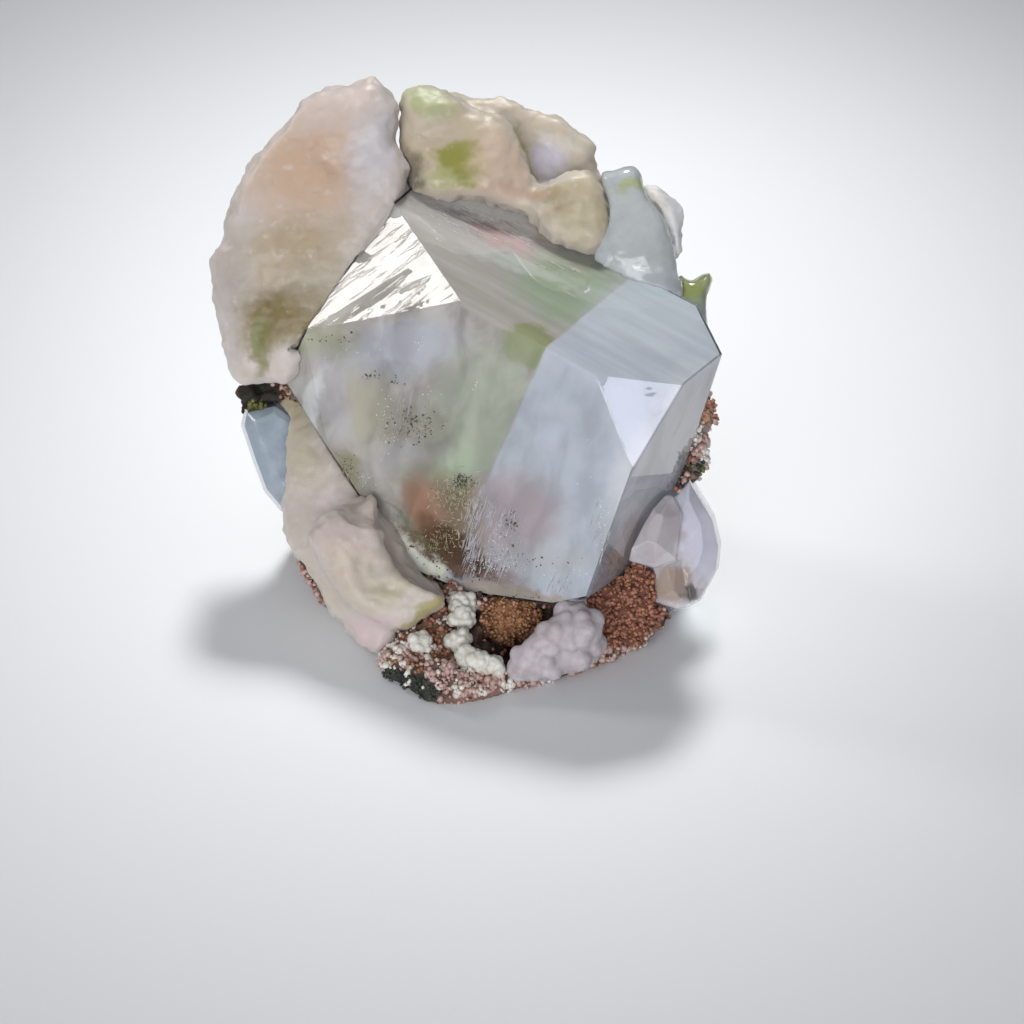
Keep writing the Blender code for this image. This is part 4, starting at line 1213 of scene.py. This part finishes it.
class CLUSTER_OT_white_masses(bpy.types.Operator):
    """Make the pinkish white mass and the little white clusters"""

    bl_idname = "cluster.white_masses"
    bl_label = "White Masses"

    def execute(self, context):
        pinkish = white_finish("Pinkish white", *PINKISH)
        creamy = white_finish("Creamy white", *CREAMY)
        draw = random.Random(SEED)
        mass = knobbly_copy("white_mass", "pale_mass", draw, **MASS_BALLS)
        settle(mass, "white_crust", pinkish, "white_mass")
        for index in (1, 2, 3, 4):
            node_name = f"white_cluster_{index}"
            cluster = knobbly_copy(node_name, f"pale_cluster_{index}", draw, **CLUSTER_BALLS)
            settle(cluster, "white_crust", creamy, node_name)
        return {"FINISHED"}


# Matrix and its crust

LUMP_SIZE = 1.3                 # of the rock's lumps, mm


def rock_relief(spot, normal):
    """Rounded lumps with deep creases between them, flat on the underside."""
    near, next_near = noise.voronoi(spot / LUMP_SIZE)[0][:2]
    lumps = 0.55 - 1.1 * near * near - 0.35 * max(0.0, 0.25 - (next_near - near)) / 0.25
    rough = 0.25 * noise.noise(spot * 0.8) + 0.14 * noise.noise(spot * 2.6)
    return min(lumps + rough - 0.25, 0.45) * min(max(spot.z - 0.3, 0.0), 1.0)


# Patches of colour on the rock itself, with painted shade in the cavity and the hole: pixel, half sizes in
# pixels, turn, edge, colour, strength
ROCK_AREAS = (
    (620, 602, 46, 50, 0, 0.3, (0.15, 0.055, 0.032), 0.95),
    # Cavity: the rock's dark brown deepened to near black, as painted shade in the recess
    (510, 630, 50, 44, 0, 0.35, (0.020, 0.009, 0.007), 0.95),
    (511, 618, 27, 24, 0, 0.3, (0.26, 0.12, 0.055), 0.95),
    (410, 665, 34, 24, 0, 0.5, (0.30, 0.17, 0.12), 0.8),
    (398, 690, 48, 34, 0, 0.35, (0.018, 0.024, 0.018), 0.97),
    (500, 690, 60, 16, 10, 0.5, (0.26, 0.14, 0.11), 0.7),
    # Painted shade: the near-black of the dark hole at the left
    (256, 402, 26, 30, 0, 0.3, (0.012, 0.012, 0.006), 0.97),
    (705, 440, 14, 44, 0, 0.4, (0.32, 0.26, 0.24), 0.8),
    (425, 640, 40, 18, 0, 0.5, (0.14, 0.09, 0.05), 0.8),
)


def rock_finish():
    """Brown rock with patches of colour under its crust, and painted shade in its cavity and hole."""
    finish = Finish("Brown matrix", Roughness=0.75)
    clouds, height = finish.clouds(1.6, 3.0)
    colour = blend_colours(finish.tree, clouds, (0.07, 0.04, 0.03), (0.22, 0.13, 0.09))
    finish.feed("Base Color", finish.paint(colour, ROCK_AREAS))
    finish.bump(height, 0.9, 0.3)
    return finish.material


# What crusts the rock where the photograph shows it: pixel, half sizes in pixels, grains to a square mm,
# kinds by share
CRUST_AREAS = (
    (402, 694, 36, 26, 7.0, (("dark", 0.93), ("white", 0.07))),
    (511, 618, 29, 27, 14.0, (("golden", 0.9), ("brown", 0.1))),
    (620, 600, 42, 46, 9.0, (("brown", 0.85), ("golden", 0.15))),
    (510, 636, 48, 38, 0.3, (("brown", 1.0),)),
    (392, 652, 18, 16, 10.0, (("pink", 0.5), ("white", 0.35), ("golden", 0.15))),
    (418, 660, 28, 20, 9.0, (("golden", 0.25), ("brown", 0.2), ("pink", 0.35), ("white", 0.2))),
    (490, 684, 76, 24, 11.0, (("white", 0.26), ("pink", 0.58), ("dark", 0.06), ("brown", 0.1))),
    (440, 630, 30, 22, 6.0, (("brown", 0.5), ("golden", 0.3), ("white", 0.2))),
    (612, 655, 56, 16, 9.0, (("pink", 0.6), ("golden", 0.25), ("white", 0.15))),
    (256, 412, 10, 12, 10.0, (("olive", 1.0),)),
    (255, 400, 24, 26, 0.0, (("dark", 1.0),)),
    (707, 411, 10, 12, 9.0, (("orange", 1.0),)),
    (697, 468, 9, 9, 9.0, (("olive", 0.3), ("dark", 0.7))),
    (706, 440, 14, 30, 7.0, (("pink", 0.6), ("white", 0.4))),
)
# The same for the back and for what no area covers
BACK_CRUST = (3.0, (("brown", 0.45), ("dark", 0.4), ("pink", 0.15)))
SIDE_CRUST = (4.0, (("brown", 0.45), ("pink", 0.3), ("dark", 0.25)))
# Radii of the grains of each kind, mm
CRUST_SIZES = {
    "brown": (0.18, 0.46),
    "golden": (0.16, 0.36),
    "pink": (0.20, 0.56),
    "white": (0.20, 0.56),
    "dark": (0.14, 0.36),
    "olive": (0.20, 0.45),
    "orange": (0.25, 0.5),
}
CRUST_COLOURS = {
    "brown": ((0.20, 0.07, 0.042), (0.42, 0.19, 0.12)),
    "golden": ((0.19, 0.075, 0.028), (0.50, 0.27, 0.14)),
    "pink": ((0.34, 0.19, 0.16), (0.62, 0.46, 0.42)),
    "white": ((0.52, 0.48, 0.42), (0.78, 0.74, 0.69)),
    "dark": ((0.010, 0.014, 0.011), (0.045, 0.05, 0.04)),
    "olive": ((0.06, 0.07, 0.015), (0.18, 0.17, 0.05)),
    "orange": ((0.36, 0.15, 0.09), (0.52, 0.30, 0.20)),
}


BACK_DEPTH = 14                 # what lies further than this behind the view centre is the back, mm
BACK_FROM = 6                   # and so is what lies beyond this y, mm


def crust_at(spot):
    """How many grains to a square mm grow at a place on the rock, and of which kinds."""
    if (spot - eye()).length > EYE_DISTANCE + BACK_DEPTH or spot.y > BACK_FROM:
        return BACK_CRUST
    px, py = pixel_of(spot)
    for centre_x, centre_y, half_width, half_height, density, kinds in CRUST_AREAS:
        if ((px - centre_x) / half_width) ** 2 + ((py - centre_y) / half_height) ** 2 < 1:
            return density, kinds
    return SIDE_CRUST


CREASE = 0.10                   # how wide the creases between the lumps are, as a share of a lump
CREASE_SHARE = 0.15             # so much of the density of the grains is left there
CLUMPING = 0.75                 # how much the kind of a grain follows that of its neighbours
GRAIN_ASIDE = 0.22              # how far off its face's middle a grain sits at most, mm
GRAIN_OUT = 0.2                 # and how far its own middle stands out, as a share of its size


def kind_of_grain(kinds, choice):
    """The kind that a number from 0 to 1 falls on."""
    for name, weight in kinds:
        if choice < weight:
            return name
        choice -= weight
    return kinds[-1][0]


def grow_crust(rock, draw):
    """Grains over the rock, as the corners and faces of one joined mesh for each kind."""
    lists = {kind: ([], []) for kind in CRUST_COLOURS}
    shape = ball_shape()
    for face in rock.data.polygons:
        spot = face.center / MM
        density, kinds = crust_at(spot)
        near, next_near = noise.voronoi(spot / LUMP_SIZE)[0][:2]
        if next_near - near < CREASE:
            density *= CREASE_SHARE
        count = int(density * face.area / MM ** 2 + draw.random())
        clump = min(max(noise.noise(spot * 0.8) * 1.2 + 0.5, 0.0), 1.0)
        for _ in range(count):
            kind = kind_of_grain(kinds, clump * CLUMPING + draw.random() * (1 - CLUMPING))
            size = draw.uniform(*CRUST_SIZES[kind]) * draw.uniform(0.6, 1.0)
            if spot.z < size:
                continue
            radii = [size * draw.uniform(0.6, 1.1) for _ in range(3)]
            aside = Vector([draw.uniform(-GRAIN_ASIDE, GRAIN_ASIDE) for _ in range(3)])
            place = spot + aside + face.normal * size * GRAIN_OUT
            add_grain(*lists[kind], shape, place, radii, random_turn(draw), draw)
    return lists


class CLUSTER_OT_matrix(bpy.types.Operator):
    """Make the rock and the grains that crust it"""

    bl_idname = "cluster.matrix"
    bl_label = "Matrix"

    def execute(self, context):
        rock = fine_copy("matrix", "rock", context.scene.cluster_sizes.rock_mesh / MM)
        shape_surface(rock, rock_relief)
        settle(rock, "matrix", rock_finish(), "matrix")
        for kind, lists in grow_crust(rock, random.Random(SEED)).items():
            grains = object_from_lists(f"crust_{kind}", *lists)
            grains.data.shade_smooth()
            finish = simple_finish(f"Crust {kind}", *CRUST_COLOURS[kind], 0.5, 0.38)
            settle(grains, "matrix", finish)
        return {"FINISHED"}


# Stage

def floor_finish(colour):
    """A matt floor, very faintly clouded."""
    finish = Finish("Pale floor", Roughness=0.7)
    clouds, _ = finish.clouds(80.0, 0.3)
    pale = [value * 0.985 for value in colour]
    finish.feed("Base Color", blend_colours(finish.tree, clouds, pale, colour))
    return finish.material


# Places and targets of the lights in mm
KEY_PLACE = (30, 330, 560)
KEY_TARGET = (7, 52, 0)
KEY_CONE = math.radians(26)
KEY_SQUEEZE = (0.52, 1.0, 1.0)  # makes the lit oval narrow
KEY_RADIUS = 0.07               # metres
KEY_COLOUR = (1.0, 0.995, 0.985)
FILL_PLACE = (-320, -1480, 400)
FILL_TARGET = (0, 0, 20)
FILL_SIZE = 1.2                 # metres
FILL_COLOUR = (0.97, 0.98, 1.0)
CARD_DISTANCE = 500             # from the facets to the cards that they mirror, mm
LEFT_CARD_SIZE = 112            # mm
LEFT_CARD_COLOUR = (1.0, 0.965, 0.94)
NEAR_CARD_SIZE = 62             # mm
NEAR_CARD_COLOUR = (0.80, 0.82, 1.0)
FLOOR_HALF_WIDTH = 2500.0       # mm


def add_light(name, kind, place, target, energy, colour, **settings):
    """A light at a place in mm, pointing at a target in mm."""
    data = bpy.data.lights.new(name, kind)
    data.energy = energy
    data.color = colour
    for key, value in settings.items():
        setattr(data, key, value)
    obj = bpy.data.objects.new(name, data)
    obj.location = Vector(place) * MM
    obj.rotation_euler = (Vector(target) - Vector(place)).to_track_quat("-Z", "Y").to_euler()
    bpy.context.scene.collection.objects.link(obj)
    return obj


def facet_card(name, skin, pixel, size, energy, colour):
    """A small light card where the facet seen at a pixel mirrors it."""
    spot, normal = skin.seen_at(*pixel)
    ray = look(*pixel)
    mirrored = ray - 2 * ray.dot(normal) * normal
    card = add_light(name, "AREA", spot + mirrored * CARD_DISTANCE, spot, energy, colour, size=size * MM)
    card.visible_camera = False


def add_camera(scene):
    """The camera that sees the photograph's view."""
    data = bpy.data.cameras.new("Camera")
    data.sensor_width = SENSOR
    data.lens = SENSOR * EYE_DISTANCE / (PICTURE / PIXELS_PER_MM)
    data.shift_x = (PICTURE / 2 - CENTRE_PIXEL[0]) / PICTURE
    data.shift_y = (CENTRE_PIXEL[1] - PICTURE / 2) / PICTURE
    data.clip_start = 0.01
    camera = bpy.data.objects.new("Camera", data)
    camera.location = eye() * MM
    camera.rotation_euler = (-NEAR).to_track_quat("-Z", "Y").to_euler()
    scene.collection.objects.link(camera)
    scene.camera = camera


class CLUSTER_OT_stage(bpy.types.Operator):
    """Make the floor, the soft lights, the facet cards and the camera"""

    bl_idname = "cluster.stage"
    bl_label = "Stage"

    def execute(self, context):
        scene = context.scene
        stage = scene.cluster_stage
        bm = bmesh.new()
        bmesh.ops.create_grid(bm, x_segments=1, y_segments=1, size=FLOOR_HALF_WIDTH)
        floor = object_from_bmesh("floor", bm)
        floor.data.materials.append(floor_finish(stage.floor_colour))
        world = bpy.data.worlds.new("Studio")
        world.use_nodes = True
        sky = world.node_tree.nodes["Background"]
        sky.inputs["Color"].default_value = (*stage.sky_colour, 1.0)
        sky.inputs["Strength"].default_value = stage.sky_strength
        scene.world = world
        key = add_light("key", "SPOT", KEY_PLACE, KEY_TARGET, stage.key_power, KEY_COLOUR,
                        spot_size=KEY_CONE, spot_blend=1.0, shadow_soft_size=KEY_RADIUS)
        key.scale = KEY_SQUEEZE
        add_light("fill", "AREA", FILL_PLACE, FILL_TARGET, stage.fill_power, FILL_COLOUR, size=FILL_SIZE)
        skin = Skin(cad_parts["apophyllite_main"])
        facet_card("left_card", skin, LEFT_FACET_PIXEL, LEFT_CARD_SIZE, stage.left_card_power,
                   LEFT_CARD_COLOUR)
        facet_card("near_card", skin, NEAR_FACET_PIXEL, NEAR_CARD_SIZE, stage.near_card_power,
                   NEAR_CARD_COLOUR)
        add_camera(scene)
        scene.view_settings.view_transform = "Standard"
        scene.cycles.max_bounces = 8
        scene.cycles.transmission_bounces = 6
        scene.cycles.transparent_max_bounces = 10
        return {"FINISHED"}


class ClusterSizes(bpy.types.PropertyGroup):
    """Sizes of the meshes."""

    blade_mesh: FloatProperty(
        name="Blade mesh", description="Mesh size of the stilbite blades",
        default=0.0003, unit="LENGTH", precision=5)
    rock_mesh: FloatProperty(
        name="Rock mesh", description="Mesh size of the rock",
        default=0.00035, unit="LENGTH", precision=5)


class ClusterColours(bpy.types.PropertyGroup):
    """Colours of the main crystal."""

    clear_tint: FloatVectorProperty(
        name="Clear crystal", description="Colour of the clear crystal's surface",
        subtype="COLOR", default=(0.965, 0.98, 0.975))
    clear_absorption: FloatVectorProperty(
        name="Absorption", description="Colour that the clear crystal takes on with its depth",
        subtype="COLOR", default=(0.80, 0.92, 0.86))
    clear_density: FloatProperty(
        name="Absorption density", description="How fast the absorption grows, per metre",
        default=6.0)
    milk: FloatVectorProperty(
        name="Milk", description="Colour of the milky side at its lightest",
        subtype="COLOR", default=(0.47, 0.49, 0.56))
    milk_shade: FloatVectorProperty(
        name="Milk shade", description="Colour of the milky side at its darkest",
        subtype="COLOR", default=(0.40, 0.43, 0.47))
    left_side: FloatVectorProperty(
        name="Left side", description="Colour of the clearer left side at its lightest",
        subtype="COLOR", default=(0.43, 0.405, 0.385))
    left_side_shade: FloatVectorProperty(
        name="Left side shade", description="Colour of the clearer left side at its darkest",
        subtype="COLOR", default=(0.31, 0.285, 0.26))


class ClusterStage(bpy.types.PropertyGroup):
    """Floor and lights."""

    floor_colour: FloatVectorProperty(
        name="Floor", description="Colour of the floor",
        subtype="COLOR", default=(0.80, 0.82, 0.84))
    sky_colour: FloatVectorProperty(
        name="Sky", description="Colour of the soft light all around",
        subtype="COLOR", default=(0.95, 0.97, 1.0))
    sky_strength: FloatProperty(
        name="Sky strength", description="Strength of the soft light all around",
        default=0.185)
    key_power: FloatProperty(
        name="Key", description="Power of the light from above and behind",
        default=21.2, unit="POWER")
    fill_power: FloatProperty(
        name="Fill", description="Power of the large soft light in front",
        default=24.0, unit="POWER")
    left_card_power: FloatProperty(
        name="Left card", description="Power of the card that the left facet mirrors",
        default=0.43, unit="POWER", precision=3)
    near_card_power: FloatProperty(
        name="Near card", description="Power of the card that the near facet mirrors",
        default=0.085, unit="POWER", precision=3)


class CLUSTER_PT_panel(bpy.types.Panel):
    """Lists the pieces of the cluster"""

    bl_idname = "CLUSTER_PT_panel"
    bl_label = "Apophyllite Cluster"
    bl_space_type = "VIEW_3D"
    bl_region_type = "UI"
    bl_category = "Cluster"

    def draw(self, context):
        layout = self.layout
        for operator in OPERATORS:
            layout.operator(operator.bl_idname)
        scene = context.scene
        for settings in (scene.cluster_sizes, scene.cluster_colours, scene.cluster_stage):
            for name in settings.bl_rna.properties.keys():
                if name not in ("rna_type", "name"):
                    layout.prop(settings, name)


OPERATORS = (CLUSTER_OT_stage, CLUSTER_OT_main_crystal, CLUSTER_OT_small_crystals, CLUSTER_OT_blades,
             CLUSTER_OT_white_masses, CLUSTER_OT_matrix)
CLASSES = (ClusterSizes, ClusterColours, ClusterStage, *OPERATORS, CLUSTER_PT_panel)


def register():
    for item in CLASSES:
        bpy.utils.register_class(item)
    bpy.types.Scene.cluster_sizes = PointerProperty(type=ClusterSizes)
    bpy.types.Scene.cluster_colours = PointerProperty(type=ClusterColours)
    bpy.types.Scene.cluster_stage = PointerProperty(type=ClusterStage)


def unregister():
    del bpy.types.Scene.cluster_sizes
    del bpy.types.Scene.cluster_colours
    del bpy.types.Scene.cluster_stage
    for item in reversed(CLASSES):
        bpy.utils.unregister_class(item)


def main():
    """Make every piece and the stage."""
    register()
    for operator in OPERATORS:
        area, name = operator.bl_idname.split(".")
        getattr(getattr(bpy.ops, area), name)()


if __name__ == "__main__":
    main()
